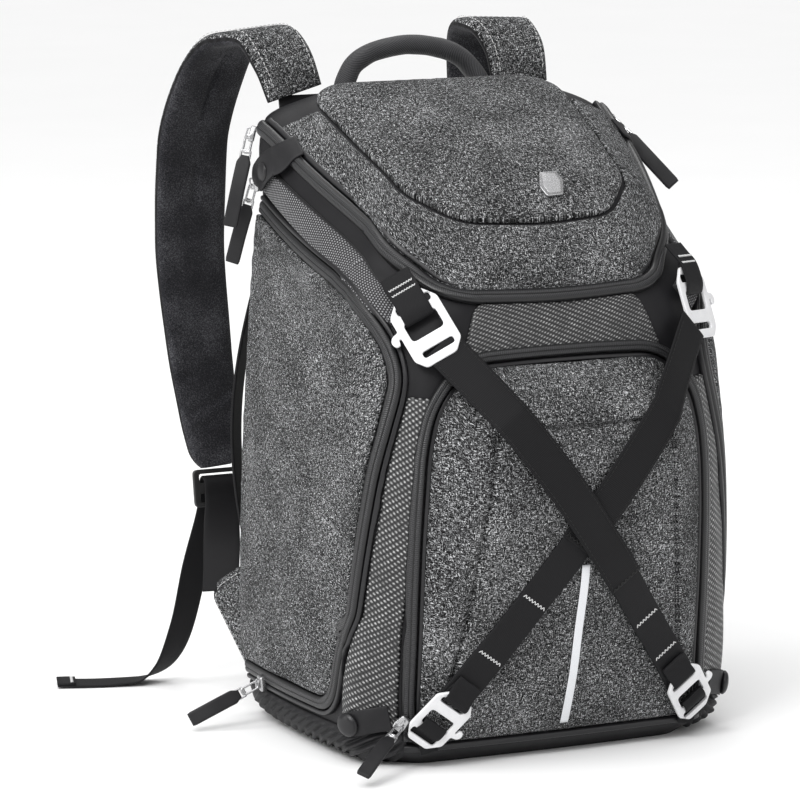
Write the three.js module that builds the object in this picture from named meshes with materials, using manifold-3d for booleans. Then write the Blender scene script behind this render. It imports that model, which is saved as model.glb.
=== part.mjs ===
// Camera backpack: a padded shell with a hinged-looking cloth lid, a bulging front pocket,
// crossed front straps on flat hooks, padded shoulder straps and a ribbed rubber base.
// Millimetres, +Z up, the front faces -Y, the wearer's side faces +Y, the base rests on z = 0.
import * as THREE from "three";
import Module from "manifold-3d";

const wasm = await Module();
wasm.setup();
const Manifold = wasm.Manifold;

// Overall sizes
const GAP = 0.3;
const SHELL_THICKNESS = 3;
const SHELL_DEPTH = 3;
const LID_THICKNESS = 3;
const BASE_HEIGHT = 26;
const BASE_FRONT_HEIGHT = 13;
const LID_LINE = 401;
const LID_TOP = 450;

// The skin: tilted sections from the floor to the crown of the lid.
// half width, front and back reach from the middle, the cut corner's size across and along,
// the radius of the front corners and of the back corners, and the bow of the flat sides
const SECTION_COLUMNS = ["z", "tilt", "half", "front", "back", "cutX", "cutY", "frontR", "backR", "bow", "flare"];
const SECTIONS = readTable(SECTION_COLUMNS, [
  [0, 0, 136, 108, 92, 34, 28, 26, 28, 2, 0],
  [14, 0, 151, 123, 104, 38, 28, 24, 28, 3, 0],
  [60, 0, 156, 127, 112, 41, 29, 22, 30, 4, 0],
  [140, 1, 154, 134, 116, 41, 29, 22, 30, 5, 0],
  [220, 3, 150, 138, 118, 40, 30, 24, 30, 5, 0],
  [290, 7, 146, 136, 117, 42, 32, 36, 30, 5, 0],
  [335, 11.5, 143, 132, 116, 48, 36, 42, 30, 5, 0],
  [364, 16, 140, 129, 115, 52, 38, 46, 32, 4, 2],
  [384, 20.5, 132, 127, 113, 52, 42, 50, 30, 4, 16],
  [401, 24.5, 118, 125, 111, 48, 42, 50, 28, 4, 33],
  [414, 24.5, 115, 120, 108, 48, 42, 50, 28, 4, 34],
  [430, 25, 105, 106, 100, 44, 38, 44, 30, 3, 9],
  [441, 25, 84, 82, 83, 34, 30, 34, 26, 2, 0],
  [448, 25, 44, 42, 48, 18, 16, 18, 14, 1, 0],
  [450, 25, 2, 2, 2, 0.6, 0.6, 0.4, 0.4, 0, 0],
]);

// Facets along each of the seven stretches of half an outline, from the back to the front
const STRETCH_FACETS = [1, 2, 2, 2, 1, 1, 2];
const HALF_TURN = 7;
const SHELL_ROWS = [4, 14, 55, 140, 220, 265, 300, 335, 364, 384, LID_LINE - GAP];
const LID_ROWS = [LID_LINE + GAP, 414, 430, 441, 448, 449.6];
const HULL_ROWS = [3.4, ...SHELL_ROWS.slice(1, -1), LID_LINE, ...LID_ROWS.slice(1)];

// Named columns for a short table
function readTable(columns, rows) {
  return rows.map((row) => Object.fromEntries(columns.map((name, index) => [name, row[index]])));
}

// Blends a table's columns at a key value with slopes that never overshoot
function blendRows(rows, key, value) {
  const last = rows.length - 1;
  const clamped = Math.min(Math.max(value, rows[0][key]), rows[last][key]);
  let low = 0;
  while (low < last - 1 && rows[low + 1][key] <= clamped) low += 1;
  const span = rows[low + 1][key] - rows[low][key];
  const t = (clamped - rows[low][key]) / span;
  const slopeAt = (index, name) => {
    const before = Math.max(index - 1, 0);
    const after = Math.min(index + 1, last);
    const left = index === 0 ? null : (rows[index][name] - rows[before][name]) / (rows[index][key] - rows[before][key]);
    const right = index === last ? null : (rows[after][name] - rows[index][name]) / (rows[after][key] - rows[index][key]);
    if (left === null) return right;
    if (right === null) return left;
    return left * right <= 0 ? 0 : (2 * left * right) / (left + right);
  };
  const result = {};
  for (const name of Object.keys(rows[0])) {
    if (name === key) {
      result[name] = clamped;
      continue;
    }
    const startSlope = slopeAt(low, name) * span;
    const endSlope = slopeAt(low + 1, name) * span;
    const t2 = t * t;
    const t3 = t2 * t;
    result[name] = (2 * t3 - 3 * t2 + 1) * rows[low][name] + (t3 - 2 * t2 + t) * startSlope
      + (3 * t2 - 2 * t3) * rows[low + 1][name] + (t3 - t2) * endSlope;
  }
  return result;
}

// A rounded corner of the outline: where its arc starts and ends, and its centre
function roundCorner(before, corner, after, radius) {
  const incoming = corner.clone().sub(before);
  const outgoing = after.clone().sub(corner);
  const room = 0.45 * Math.min(incoming.length(), outgoing.length());
  incoming.normalize();
  outgoing.normalize();
  const turn = Math.acos(Math.min(1, Math.max(-1, incoming.dot(outgoing))));
  const reach = Math.min(radius * Math.tan(turn / 2), room);
  const arcRadius = reach / Math.tan(turn / 2);
  const inward = new THREE.Vector2(incoming.y, -incoming.x);
  if (inward.dot(outgoing) < 0) inward.negate();
  const start = corner.clone().addScaledVector(incoming, -reach);
  const end = corner.clone().addScaledVector(outgoing, reach);
  return { start, end, centre: start.clone().addScaledVector(inward, arcRadius), radius: arcRadius };
}

// A place on one section's outline. The turn runs from 0 at the middle of the back to 7 at the
// middle of the front: back, back corner, side, side edge, cut corner, front edge, front.
// Negative turns are on the -X side, and turns past 7 come round to that side too.
function outlinePlace(section, turn) {
  const past = Math.abs(turn) > HALF_TURN;
  const amount = past ? 2 * HALF_TURN - Math.abs(turn) : Math.abs(turn);
  const stretch = Math.min(Math.floor(amount), HALF_TURN - 1);
  const t = amount - stretch;
  const back = new THREE.Vector2(0, section.back);
  const backCorner = new THREE.Vector2(section.half + section.flare, section.back);
  const sideEdge = new THREE.Vector2(section.half, section.cutY - section.front);
  const frontEdge = new THREE.Vector2(section.half - section.cutX, -section.front);
  const front = new THREE.Vector2(0, -section.front);
  const arcs = [
    roundCorner(back, backCorner, sideEdge, section.backR),
    roundCorner(backCorner, sideEdge, frontEdge, section.frontR),
    roundCorner(sideEdge, frontEdge, front, section.frontR),
  ];
  let place;
  if (stretch % 2 === 1) {
    const arc = arcs[(stretch - 1) / 2];
    const from = arc.start.clone().sub(arc.centre).angle();
    const to = arc.end.clone().sub(arc.centre).angle();
    const sweep = ((to - from + 3 * Math.PI) % (2 * Math.PI)) - Math.PI;
    const angle = from + sweep * t;
    place = new THREE.Vector2(Math.cos(angle), Math.sin(angle)).multiplyScalar(arc.radius).add(arc.centre);
  } else {
    const starts = [back, arcs[0].end, arcs[1].end, arcs[2].end];
    const ends = [arcs[0].start, arcs[1].start, arcs[2].start, front];
    place = starts[stretch / 2].clone().lerp(ends[stretch / 2], t);
    if (stretch === 2) place.x += section.bow * Math.sin(Math.PI * t);
    if (stretch === 6) place.y -= section.bow * Math.sin((Math.PI / 2) * t);
  }
  if (past !== turn < 0) place.x = -place.x;
  return place;
}

// A point of the skin at a turn and a height
function skinPoint(turn, z) {
  const section = blendRows(SECTIONS, "z", z);
  const place = outlinePlace(section, turn);
  const tilt = THREE.MathUtils.degToRad(section.tilt);
  return new THREE.Vector3(place.x, place.y * Math.cos(tilt), section.z + place.y * Math.sin(tilt));
}

// The outward direction of the skin
function skinNormal(turn, z) {
  const step = 0.02;
  const rise = 0.8;
  const high = Math.min(z + rise, LID_TOP);
  const low = Math.max(z - rise, 0);
  const around = skinPoint(turn + step, z).sub(skinPoint(turn - step, z));
  const up = skinPoint(turn, high).sub(skinPoint(turn, low));
  const normal = up.cross(around).normalize();
  const outward = skinPoint(turn, z).sub(new THREE.Vector3(0, 0, z - 40));
  return normal.dot(outward) < 0 ? normal.negate() : normal;
}

function liftedPoint(turn, z, lift) {
  return skinPoint(turn, z).addScaledVector(skinNormal(turn, z), lift);
}

// Moves along the skin at one height by a real distance and returns the new turn
function walkTurn(turn, z, distance) {
  const steps = 12;
  const step = distance / steps;
  let place = turn;
  for (let index = 0; index < steps; index += 1) {
    const probe = 0.02;
    const speed = skinPoint(place + probe, z).distanceTo(skinPoint(place, z)) / probe;
    place += step / speed;
  }
  return place;
}

// Finds the turn and height where the skin's front has a given width place and real height
function frontPlace(x, height) {
  let z = height + 10;
  let turn = 6;
  for (let round = 0; round < 12; round += 1) {
    let low = 3;
    let high = HALF_TURN;
    for (let halving = 0; halving < 22; halving += 1) {
      turn = (low + high) / 2;
      if (skinPoint(turn, z).x > Math.abs(x)) low = turn;
      else high = turn;
    }
    z += height - skinPoint(turn, z).z;
  }
  return { turn: x < 0 ? -turn : turn, z };
}

// Solid from corner points and triangles, turned so that it faces out
function closedSolid(points, triangles) {
  const vertices = new Float32Array(points.flatMap((point) => [point.x, point.y, point.z]));
  const build = (list) => new Manifold(new wasm.Mesh({
    numProp: 3, vertProperties: vertices, triVerts: new Uint32Array(list.flat()),
  }));
  const solid = build(triangles);
  return solid.volume() > 0 ? solid : build(triangles.map(([a, b, c]) => [a, c, b]));
}

// Closed solid through rings of points, with both ends filled from their middle
function loftRings(rings) {
  const count = rings[0].length;
  const points = rings.flat();
  const triangles = [];
  for (let row = 0; row < rings.length - 1; row += 1) {
    for (let column = 0; column < count; column += 1) {
      const next = (column + 1) % count;
      const a = row * count + column;
      const b = row * count + next;
      triangles.push([a, b, a + count], [b, b + count, a + count]);
    }
  }
  const middle = (ring) => ring.reduce((sum, p) => sum.add(p), new THREE.Vector3()).divideScalar(count);
  const firstMiddle = points.push(middle(rings[0])) - 1;
  const lastMiddle = points.push(middle(rings[rings.length - 1])) - 1;
  const lastRow = (rings.length - 1) * count;
  for (let column = 0; column < count; column += 1) {
    const next = (column + 1) % count;
    triangles.push([firstMiddle, next, column]);
    triangles.push([lastMiddle, lastRow + column, lastRow + next]);
  }
  return closedSolid(points, triangles);
}

// Closed sheet between an outer and an inner grid of points
function slabFromGrids(outer, inner) {
  const rows = outer.length;
  const columns = outer[0].length;
  const points = [...outer.flat(), ...inner.flat()];
  const shift = rows * columns;
  const triangles = [];
  for (let row = 0; row < rows - 1; row += 1) {
    for (let column = 0; column < columns - 1; column += 1) {
      const a = row * columns + column;
      const b = a + 1;
      const c = a + columns;
      const d = c + 1;
      triangles.push([a, b, c], [b, d, c]);
      triangles.push([a + shift, c + shift, b + shift], [b + shift, c + shift, d + shift]);
    }
  }
  const edge = [];
  for (let column = 0; column < columns; column += 1) edge.push(column);
  for (let row = 1; row < rows; row += 1) edge.push(row * columns + columns - 1);
  for (let column = columns - 2; column >= 0; column -= 1) edge.push((rows - 1) * columns + column);
  for (let row = rows - 2; row > 0; row -= 1) edge.push(row * columns);
  edge.forEach((a, index) => {
    const b = edge[(index + 1) % edge.length];
    triangles.push([a, a + shift, b], [b, a + shift, b + shift]);
  });
  return closedSolid(points, triangles);
}

// All turns around one section, evenly spread over each stretch
function turnsAround() {
  const half = [];
  STRETCH_FACETS.forEach((facets, stretch) => {
    for (let index = 0; index < facets; index += 1) half.push(stretch + index / facets);
  });
  half.push(HALF_TURN);
  const other = half.slice(1, -1).reverse().map((turn) => -turn);
  return [...half, ...other];
}

const TURNS = turnsAround();
const skinRing = (z, lift) => TURNS.map((turn) => liftedPoint(turn, z, lift));
const skinBody = (rows, lift) => loftRings(rows.map((z) => skinRing(z, lift)));

// The closed hull that every piece on the outside keeps clear of
const hullClear = skinBody(HULL_ROWS, GAP - SHELL_DEPTH);

// A rectangle with rounded ends in the skin's own measures. Each end of the height range has a
// corner radius for the low-turn and for the high-turn edge.
function regionEdges(region, z, grow = 0) {
  const bottom = region.bottom - grow;
  const top = region.top + grow;
  const inset = (radius, distance) => {
    if (radius <= 0 || distance >= radius) return 0;
    return radius - Math.sqrt(Math.max(0, radius * radius - (radius - distance) ** 2));
  };
  const [lowBottom, lowTop, highBottom, highTop] = region.corners.map((r) => (r > 0 ? r + grow : 0));
  const lowInset = inset(lowBottom, z - bottom) + inset(lowTop, top - z) - grow;
  const highInset = inset(highBottom, z - bottom) + inset(highTop, top - z) - grow;
  return {
    low: walkTurn(region.lowTurn(z), z, lowInset),
    high: walkTurn(region.highTurn(z), z, -highInset),
  };
}

function regionRows(region, grow = 0) {
  const bottom = region.bottom - grow;
  const top = region.top + grow;
  const rows = [];
  for (let index = 0; index <= region.rows; index += 1) {
    const t = index / region.rows;
    const eased = 0.5 - 0.5 * Math.cos(Math.PI * t);
    rows.push(bottom + (top - bottom) * (0.35 * t + 0.65 * eased));
  }
  return rows;
}

// A padded panel over a region, with a thin edge and a crowned middle, cut to sit on the shell
function skinPad(region, edgeLift, crown, mirror = false) {
  const side = mirror ? -1 : 1;
  const outer = [];
  const inner = [];
  const rows = regionRows(region);
  rows.forEach((z, row) => {
    const edges = regionEdges(region, z);
    const outerRow = [];
    const innerRow = [];
    for (let column = 0; column <= region.columns; column += 1) {
      const s = column / region.columns;
      const t = row / (rows.length - 1);
      const fall = (1 - (2 * s - 1) ** 4) * (1 - (2 * t - 1) ** 4);
      const turn = side * (edges.low + (edges.high - edges.low) * s);
      outerRow.push(liftedPoint(turn, z, edgeLift + crown * fall));
      innerRow.push(liftedPoint(turn, z, -SHELL_DEPTH - 2));
    }
    outer.push(outerRow);
    inner.push(innerRow);
  });
  return slabFromGrids(outer, inner).subtract(hullClear);
}

// Flat strap through points with their own up directions, widths and the heights of both faces
function flatStrap(stations, width, low, high) {
  const sides = stations.map((station, index) => {
    const before = stations[Math.max(index - 1, 0)].point;
    const after = stations[Math.min(index + 1, stations.length - 1)].point;
    const along = after.clone().sub(before).normalize();
    return along.cross(station.up).normalize();
  });
  const rings = stations.map((station, index) => {
    const halfWidth = (station.width ?? width) / 2;
    const corner = (across, lift) => station.point.clone()
      .addScaledVector(sides[index], across * halfWidth)
      .addScaledVector(station.up, lift);
    const top = station.high ?? high;
    const bottom = station.low ?? low;
    return [corner(-1, bottom), corner(1, bottom), corner(1, top), corner(-1, top)];
  });
  return loftRings(rings);
}

// Points along a smooth path over the skin, given as turns and heights
function skinPath(places, count) {
  const curve = new THREE.CatmullRomCurve3(
    places.map(([turn, z]) => new THREE.Vector3(turn * 30, z, 0)), false, "centripetal");
  return curve.getPoints(count).map((place) => {
    const turn = place.x / 30;
    return { point: skinPoint(turn, place.y), up: skinNormal(turn, place.y) };
  });
}

// Smooth path through points in space, each with an up direction and a width
function freePath(rows, count) {
  const curve = new THREE.CatmullRomCurve3(rows.map((row) => new THREE.Vector3(...row.at)), false, "centripetal");
  return Array.from({ length: count + 1 }, (_, index) => {
    const t = index / count;
    const place = t * (rows.length - 1);
    const low = Math.min(Math.floor(place), rows.length - 2);
    const share = place - low;
    const up = new THREE.Vector3(...rows[low].up).lerp(new THREE.Vector3(...rows[low + 1].up), share).normalize();
    const width = rows[low].width + (rows[low + 1].width - rows[low].width) * share;
    return { point: curve.getPoint(t), up, width };
  });
}

// Round bar along a smooth path
function roundBar(points, radius, steps, facets = 8) {
  const curve = new THREE.CatmullRomCurve3(points.map((p) => new THREE.Vector3(...p)), false, "centripetal");
  const profile = new THREE.Shape();
  profile.absarc(0, 0, radius, 0, 2 * Math.PI, false);
  const geometry = new THREE.ExtrudeGeometry(profile, { extrudePath: curve, steps, curveSegments: facets });
  return solidFromGeometry(geometry);
}

function solidFromGeometry(geometry) {
  const flat = geometry.index ? geometry.toNonIndexed() : geometry;
  const place = flat.attributes.position;
  const keys = new Map();
  const points = [];
  const corners = [];
  for (let index = 0; index < place.count; index += 1) {
    const point = new THREE.Vector3().fromBufferAttribute(place, index);
    const key = [point.x, point.y, point.z].map((value) => value.toFixed(4)).join(" ");
    if (!keys.has(key)) keys.set(key, points.push(point) - 1);
    corners.push(keys.get(key));
  }
  const triangles = [];
  for (let index = 0; index < corners.length; index += 3) {
    const [a, b, c] = corners.slice(index, index + 3);
    if (a !== b && b !== c && c !== a) triangles.push([a, b, c]);
  }
  return closedSolid(points, triangles);
}

// Plate cut from a flat outline with holes, laid with its own axes at a place
function plateAt(outline, holes, thickness, origin, across, along) {
  const shape = new THREE.Shape(outline.map(([x, y]) => new THREE.Vector2(x, y)));
  holes.forEach((hole) => shape.holes.push(new THREE.Path(hole.map(([x, y]) => new THREE.Vector2(x, y)))));
  const geometry = new THREE.ExtrudeGeometry(shape, { depth: thickness, bevelEnabled: false });
  const out = across.clone().cross(along).normalize();
  const fitted = along.clone().addScaledVector(across, -along.dot(across)).normalize();
  const frame = new THREE.Matrix4().makeBasis(across.clone().normalize(), fitted, out);
  frame.setPosition(origin);
  geometry.applyMatrix4(frame);
  return solidFromGeometry(geometry);
}

// Rectangle with rounded corners, as outline points
function roundedRectangle(width, height, radius, facets = 3, centre = [0, 0]) {
  const points = [];
  const corners = [[1, 1, 0], [-1, 1, 1], [-1, -1, 2], [1, -1, 3]];
  for (const [sx, sy, quarter] of corners) {
    for (let index = 0; index <= facets; index += 1) {
      const angle = (Math.PI / 2) * (quarter + index / facets);
      points.push([
        centre[0] + sx * (width / 2 - radius) + radius * Math.cos(angle),
        centre[1] + sy * (height / 2 - radius) + radius * Math.sin(angle),
      ]);
    }
  }
  return points;
}

const mirrored = (solid) => solid.mirror([1, 0, 0]);

// Materials
const LOOKS = {
  melange: { color: 0x606064, roughness: 0.95, metalness: 0 },
  smooth_black: { color: 0x2b2a2e, roughness: 0.7, metalness: 0 },
  carbon_cloth: { color: 0x38383c, roughness: 0.6, metalness: 0 },
  coated_zip: { color: 0x222125, roughness: 0.35, metalness: 0 },
  webbing: { color: 0x1f1e22, roughness: 0.85, metalness: 0 },
  grey_webbing: { color: 0x55555a, roughness: 0.9, metalness: 0 },
  rubber: { color: 0x242327, roughness: 0.6, metalness: 0 },
  bright_metal: { color: 0xdcdde0, roughness: 0.3, metalness: 1 },
  silver_strip: { color: 0xd5d6da, roughness: 0.4, metalness: 0 },
};
const pieces = [];
const addPiece = (name, solid, look) => pieces.push({ name, solid, look });
function addPair(name, solid, look) {
  addPiece(`${name}_right`, solid, look);
  addPiece(`${name}_left`, mirrored(solid).subtract(hullClear), look);
}

// Hollow body and lid
const shellInside = skinBody([7, ...SHELL_ROWS.slice(1, -1), LID_LINE + 5], -SHELL_DEPTH - SHELL_THICKNESS);
addPiece("body_shell", skinBody(SHELL_ROWS, -SHELL_DEPTH).subtract(shellInside), "smooth_black");
const lidInside = skinBody([LID_LINE - 5, ...LID_ROWS.slice(1)], -SHELL_DEPTH - LID_THICKNESS);
addPiece("lid", skinBody(LID_ROWS, -SHELL_DEPTH).subtract(lidInside), "smooth_black");

// Rubber base with slanted ribs round its corners
const BASE_ROWS = [0, 4, 14, BASE_HEIGHT];
const FRONT_CUT_HALF = 111.6;
const RIB_COLUMNS = ["turn", "lean"];
const RIBS = readTable(RIB_COLUMNS, [
  [2.35, -4], [2.55, -4], [2.75, -4], [2.95, -3], [4.0, 0],
]);
let baseTray = skinBody(BASE_ROWS, 0);
for (const rib of RIBS) {
  for (const side of [1, -1]) {
    const low = walkTurn(rib.turn, 6, -rib.lean);
    const high = walkTurn(rib.turn, BASE_HEIGHT - 3, rib.lean);
    const path = [[side * low, 6], [side * (low + high) / 2, 15], [side * high, BASE_HEIGHT - 3]];
    baseTray = baseTray.add(flatStrap(skinPath(path, 1), 5, -1.5, 2));
  }
}
const frontCut = Manifold.cube([2 * FRONT_CUT_HALF, 60, 40], false)
  .translate([-FRONT_CUT_HALF, -160, BASE_FRONT_HEIGHT]);
addPiece("base_tray", baseTray.subtract(hullClear).subtract(frontCut), "rubber");
const pipingTurns = [5.75, 6.1, 6.5, 7, 7.5, 7.9, 8.25];
addPiece("base_piping", roundBar(pipingTurns.map((turn) => liftedPoint(turn, 15.6, 0).toArray()), 2.4, 8, 2)
  .subtract(hullClear), "smooth_black");

// Grey side panels with the side zip round them
const ZIP_WIDTH = 15;
const EDGE_COLUMNS = ["z", "turn"];
const SIDE_FRONT_EDGE = readTable(EDGE_COLUMNS, [
  [0, 2.86], [60, 2.9], [100, 2.96], [153, 3.15], [214, 3.45], [262, 3.8], [300, 3.95], [400, 3.95],
]);
const sidePanel = {
  bottom: 45, top: 357, corners: [8, 10, 16, 58], rows: 8, columns: 5,
  lowTurn: () => 1.62,
  highTurn: (z) => blendRows(SIDE_FRONT_EDGE, "z", z).turn,
};

// The line round a panel's bottom, front edge and top, a set distance outside it
function regionPath(region, grow) {
  const path = [];
  const bottom = region.bottom - grow;
  const top = region.top + grow;
  const add = (z) => path.push([regionEdges(region, z, grow).high, z]);
  const bottomEnd = regionEdges(region, bottom, grow).high;
  for (const share of [0.1, 0.4, 0.7, 0.92]) path.push([1.9 + (bottomEnd - 1.9) * share, bottom]);
  const lowRadius = region.corners[2] + grow;
  const highRadius = region.corners[3] + grow;
  for (const angle of [0.15, 0.5, 0.85]) add(bottom + lowRadius * (1 - Math.cos((angle * Math.PI) / 2)));
  for (const share of [0.12, 0.35, 0.6, 0.85]) {
    add(bottom + lowRadius + (top - highRadius - bottom - lowRadius) * share);
  }
  for (const angle of [0.85, 0.6, 0.35, 0.12]) add(top - highRadius * (1 - Math.cos((angle * Math.PI) / 2)));
  const topEnd = regionEdges(region, top, grow).high;
  for (const share of [0.1, 0.4, 0.7, 1]) path.push([topEnd + (1.9 - topEnd) * share, top]);
  return path;
}
const zipPath = skinPath(regionPath(sidePanel, 0.8 + ZIP_WIDTH / 2), 22);
const zipGrown = flatStrap(zipPath, ZIP_WIDTH + 4 * GAP, -6, 6);
addPair("side_panel", skinPad(sidePanel, 0.8, 4).subtract(zipGrown), "melange");
addPair("zip_side", flatStrap(zipPath, ZIP_WIDTH, -5, -0.4).subtract(hullClear), "coated_zip");

// Patterned strips on the front corners, which widen towards the pocket as they rise
const CORNER_STRIP_FRONT_EDGE = readTable(EDGE_COLUMNS, [
  [0, 4.78], [100, 4.78], [150, 4.9], [200, 5.05], [240, 5.25], [288, 5.5], [400, 5.5],
]);
const CORNER_STRIP_TOP = 288;
const cornerStrip = {
  bottom: BASE_HEIGHT + 1.2, top: CORNER_STRIP_TOP, corners: [2, 2, 2, 2], rows: 5, columns: 2,
  lowTurn: (z) => walkTurn(blendRows(SIDE_FRONT_EDGE, "z", z).turn, z, ZIP_WIDTH + 2),
  highTurn: (z) => blendRows(CORNER_STRIP_FRONT_EDGE, "z", z).turn,
};
const cornerPad = skinPad(cornerStrip, 0, 1.5).subtract(zipGrown);

// Front pocket: a dish that bulges to a raised middle panel
const POCKET_COLUMNS = ["z", "edge", "seam", "bulge"];
const POCKET_ROWS = readTable(POCKET_COLUMNS, [
  [18.5, 111, 98, 0], [26, 111.5, 97, 2], [60, 112.5, 93, 9], [110, 112.5, 86, 16],
  [170, 111.5, 78, 22], [225, 108.5, 72, 26.5], [254, 103, 69, 26.5],
  [266, 98, 66, 19], [279, 88, 60, 11], [287, 79, 52, 6], [292, 66, 44, 2],
]);
const POCKET_THICKNESS = 3;
const POCKET_PUFF = 5;
const POCKET_LIFT = -1.2;
const pocketAcross = [0, 0.08, 0.5, 1, 1.4, 2];
function pocketColumns(row) {
  const half = pocketAcross.map((share) => (share <= 1
    ? row.edge + (row.seam - row.edge) * share
    : row.seam * (2 - share)));
  return [...half.map((x) => -x), ...half.slice(0, -1).reverse()];
}
const frontCache = new Map();
function skinFront(x, z) {
  const key = `${x.toFixed(2)} ${z.toFixed(2)}`;
  if (!frontCache.has(key)) {
    const place = frontPlace(x, z);
    frontCache.set(key, skinPoint(place.turn, place.z).y);
  }
  return frontCache.get(key);
}
function pocketForward(x, z) {
  const row = blendRows(POCKET_ROWS, "z", z);
  const toEdge = Math.max(0, row.edge - Math.abs(x));
  const topRow = POCKET_ROWS[POCKET_ROWS.length - 1].z;
  const toEnd = Math.min(topRow - z, 2 * (z - POCKET_ROWS[0].z));
  const puff = POCKET_PUFF * Math.sqrt(Math.min(1, Math.max(0, Math.min(toEdge, toEnd)) / 14));
  const rise = Math.min(1, toEdge / (row.edge - row.seam));
  const middle = Math.max(0, 1 - (Math.abs(x) / row.seam) ** 2);
  return row.bulge * (0.25 * rise + 0.75 * rise ** 1.4) + puff + 2.5 * middle * Math.min(1, row.bulge / 10);
}
function pocketSheet(depth) {
  return POCKET_ROWS.map((row) => pocketColumns(row).map((x) => {
    const shrink = 1 - depth / 130;
    const y = skinFront(x, row.z) - POCKET_LIFT - pocketForward(x, row.z) + depth;
    return new THREE.Vector3(x * (depth > 0 ? shrink : 1), y, row.z);
  }));
}
const pocketSolid = slabFromGrids(pocketSheet(0), pocketSheet(POCKET_THICKNESS));
addPiece("front_pocket", pocketSolid.subtract(hullClear), "melange");

// Zip and piping round the pocket
const POCKET_ZIP_WIDTH = 9;
function pocketRing(outward) {
  const rows = POCKET_ROWS.map((row) => new THREE.Vector2(row.edge, row.z));
  const last = rows[rows.length - 1];
  rows.push(new THREE.Vector2(last.x * 0.6, last.y + 1.2), new THREE.Vector2(last.x * 0.25, last.y + 1.8));
  const ring = [...rows, ...rows.slice().reverse().map((p) => new THREE.Vector2(-p.x, p.y))];
  return ring.map((place, index) => {
    const before = ring[Math.max(index - 1, 0)];
    const after = ring[Math.min(index + 1, ring.length - 1)];
    const along = after.clone().sub(before).normalize();
    return place.clone().add(new THREE.Vector2(along.y, -along.x).multiplyScalar(outward));
  });
}
const pocketZipPath = pocketRing(POCKET_ZIP_WIDTH / 2 + 1.6).map((place) => {
  const spot = frontPlace(place.x, place.y);
  return { point: skinPoint(spot.turn, spot.z), up: skinNormal(spot.turn, spot.z) };
});
const pocketZip = flatStrap(pocketZipPath, POCKET_ZIP_WIDTH, -6, 1.8);
const pocketZipGrown = flatStrap(pocketZipPath, POCKET_ZIP_WIDTH + 2 * GAP, -6, 3);
addPair("corner_strip", cornerPad.subtract(pocketZipGrown), "carbon_cloth");
addPiece("zip_front", pocketZip.subtract(hullClear).trimByPlane([0, 0, 1], BASE_HEIGHT + 1), "coated_zip");

// Patterned band between the pocket and the lid
const topBand = {
  bottom: 322, top: 372, corners: [2, 2, 2, 2], rows: 2, columns: 6,
  lowTurn: () => 6.05,
  highTurn: () => 2 * HALF_TURN - 6.05,
};
addPiece("top_band", skinPad(topBand, -0.6, 0.6).subtract(pocketZipGrown), "carbon_cloth");

// Lid zip, and the grey pads of the lid
const LID_ZIP_WIDTH = 13;
const lidTurns = Array.from({ length: 23 }, (_, index) => 1.78 + ((2 * HALF_TURN - 2 * 1.78) * index) / 22);
const lidZipPath = lidTurns.map((turn) => ({ point: skinPoint(turn, LID_LINE), up: skinNormal(turn, LID_LINE) }));
addPiece("zip_lid", flatStrap(lidZipPath, LID_ZIP_WIDTH, -5, 0.6).subtract(hullClear), "coated_zip");
const lidZipGrown = flatStrap(lidZipPath, LID_ZIP_WIDTH + 2 * GAP, -6, 4);
const lidBand = {
  bottom: 409, top: 431, corners: [2, 2, 2, 2], rows: 2, columns: 18,
  lowTurn: () => 1.8,
  highTurn: () => 2 * HALF_TURN - 1.8,
};
addPiece("lid_band", skinPad(lidBand, 0, 0.8).subtract(lidZipGrown), "melange");
addPiece("lid_panel", skinBody([432.2, 441, 448, 449.6], 0.6).subtract(hullClear), "melange");

// Dotted webbing on the shoulders, from the snap tab down to the hook
const SHOULDER_WEBBING = [
  [2.0, 383.5], [2.4, 383.5], [2.75, 383.5], [3.1, 379], [3.5, 371], [4.0, 363], [4.5, 357.5],
];
const webbingPath = skinPath(SHOULDER_WEBBING, 9);
const webbingBlock = flatStrap(webbingPath, 24, -5, -0.9);
const webbingSpace = [hullClear, zipGrown, lidZipGrown, mirrored(lidZipGrown)];
addPair("shoulder_webbing", webbingSpace.reduce((left, other) => left.subtract(other), webbingBlock), "grey_webbing");

// Metal plate with a wide and a narrow slot and a hooked lip
const HOOK_THICKNESS = 2.4;
const HOOK_OUTLINE = [
  [-13, -27], [11, -27], [19, -19], [19, 16], [11, 27], [-9, 27], [-19, 17], [-19, 4], [-25, 2], [-25, -3], [-19, -5],
  [-19, -19],
];
const HOOK_SLOTS = [roundedRectangle(27, 6, 2, 1, [1, 18]), roundedRectangle(26, 15, 3, 1, [0, 1]),
  roundedRectangle(25, 4.5, 2, 1, [0, -18])];
function hookPlate(centre, along, out, scale) {
  const across = along.clone().cross(out).normalize();
  const origin = centre.clone().addScaledVector(out, -HOOK_THICKNESS / 2);
  const sized = (outline) => outline.map(([x, y]) => [x * scale, y * scale]);
  return plateAt(sized(HOOK_OUTLINE), HOOK_SLOTS.map(sized), HOOK_THICKNESS, origin, across, along);
}

// How far forward the front of the bag reaches at a place, pocket included
function frontReach(x, z) {
  const row = blendRows(POCKET_ROWS, "z", z);
  const inside = Math.abs(x) < row.edge && z > POCKET_ROWS[0].z && z < POCKET_ROWS[POCKET_ROWS.length - 1].z;
  return -skinFront(x, z) + (inside ? POCKET_LIFT + pocketForward(x, z) : 1.8);
}

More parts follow.
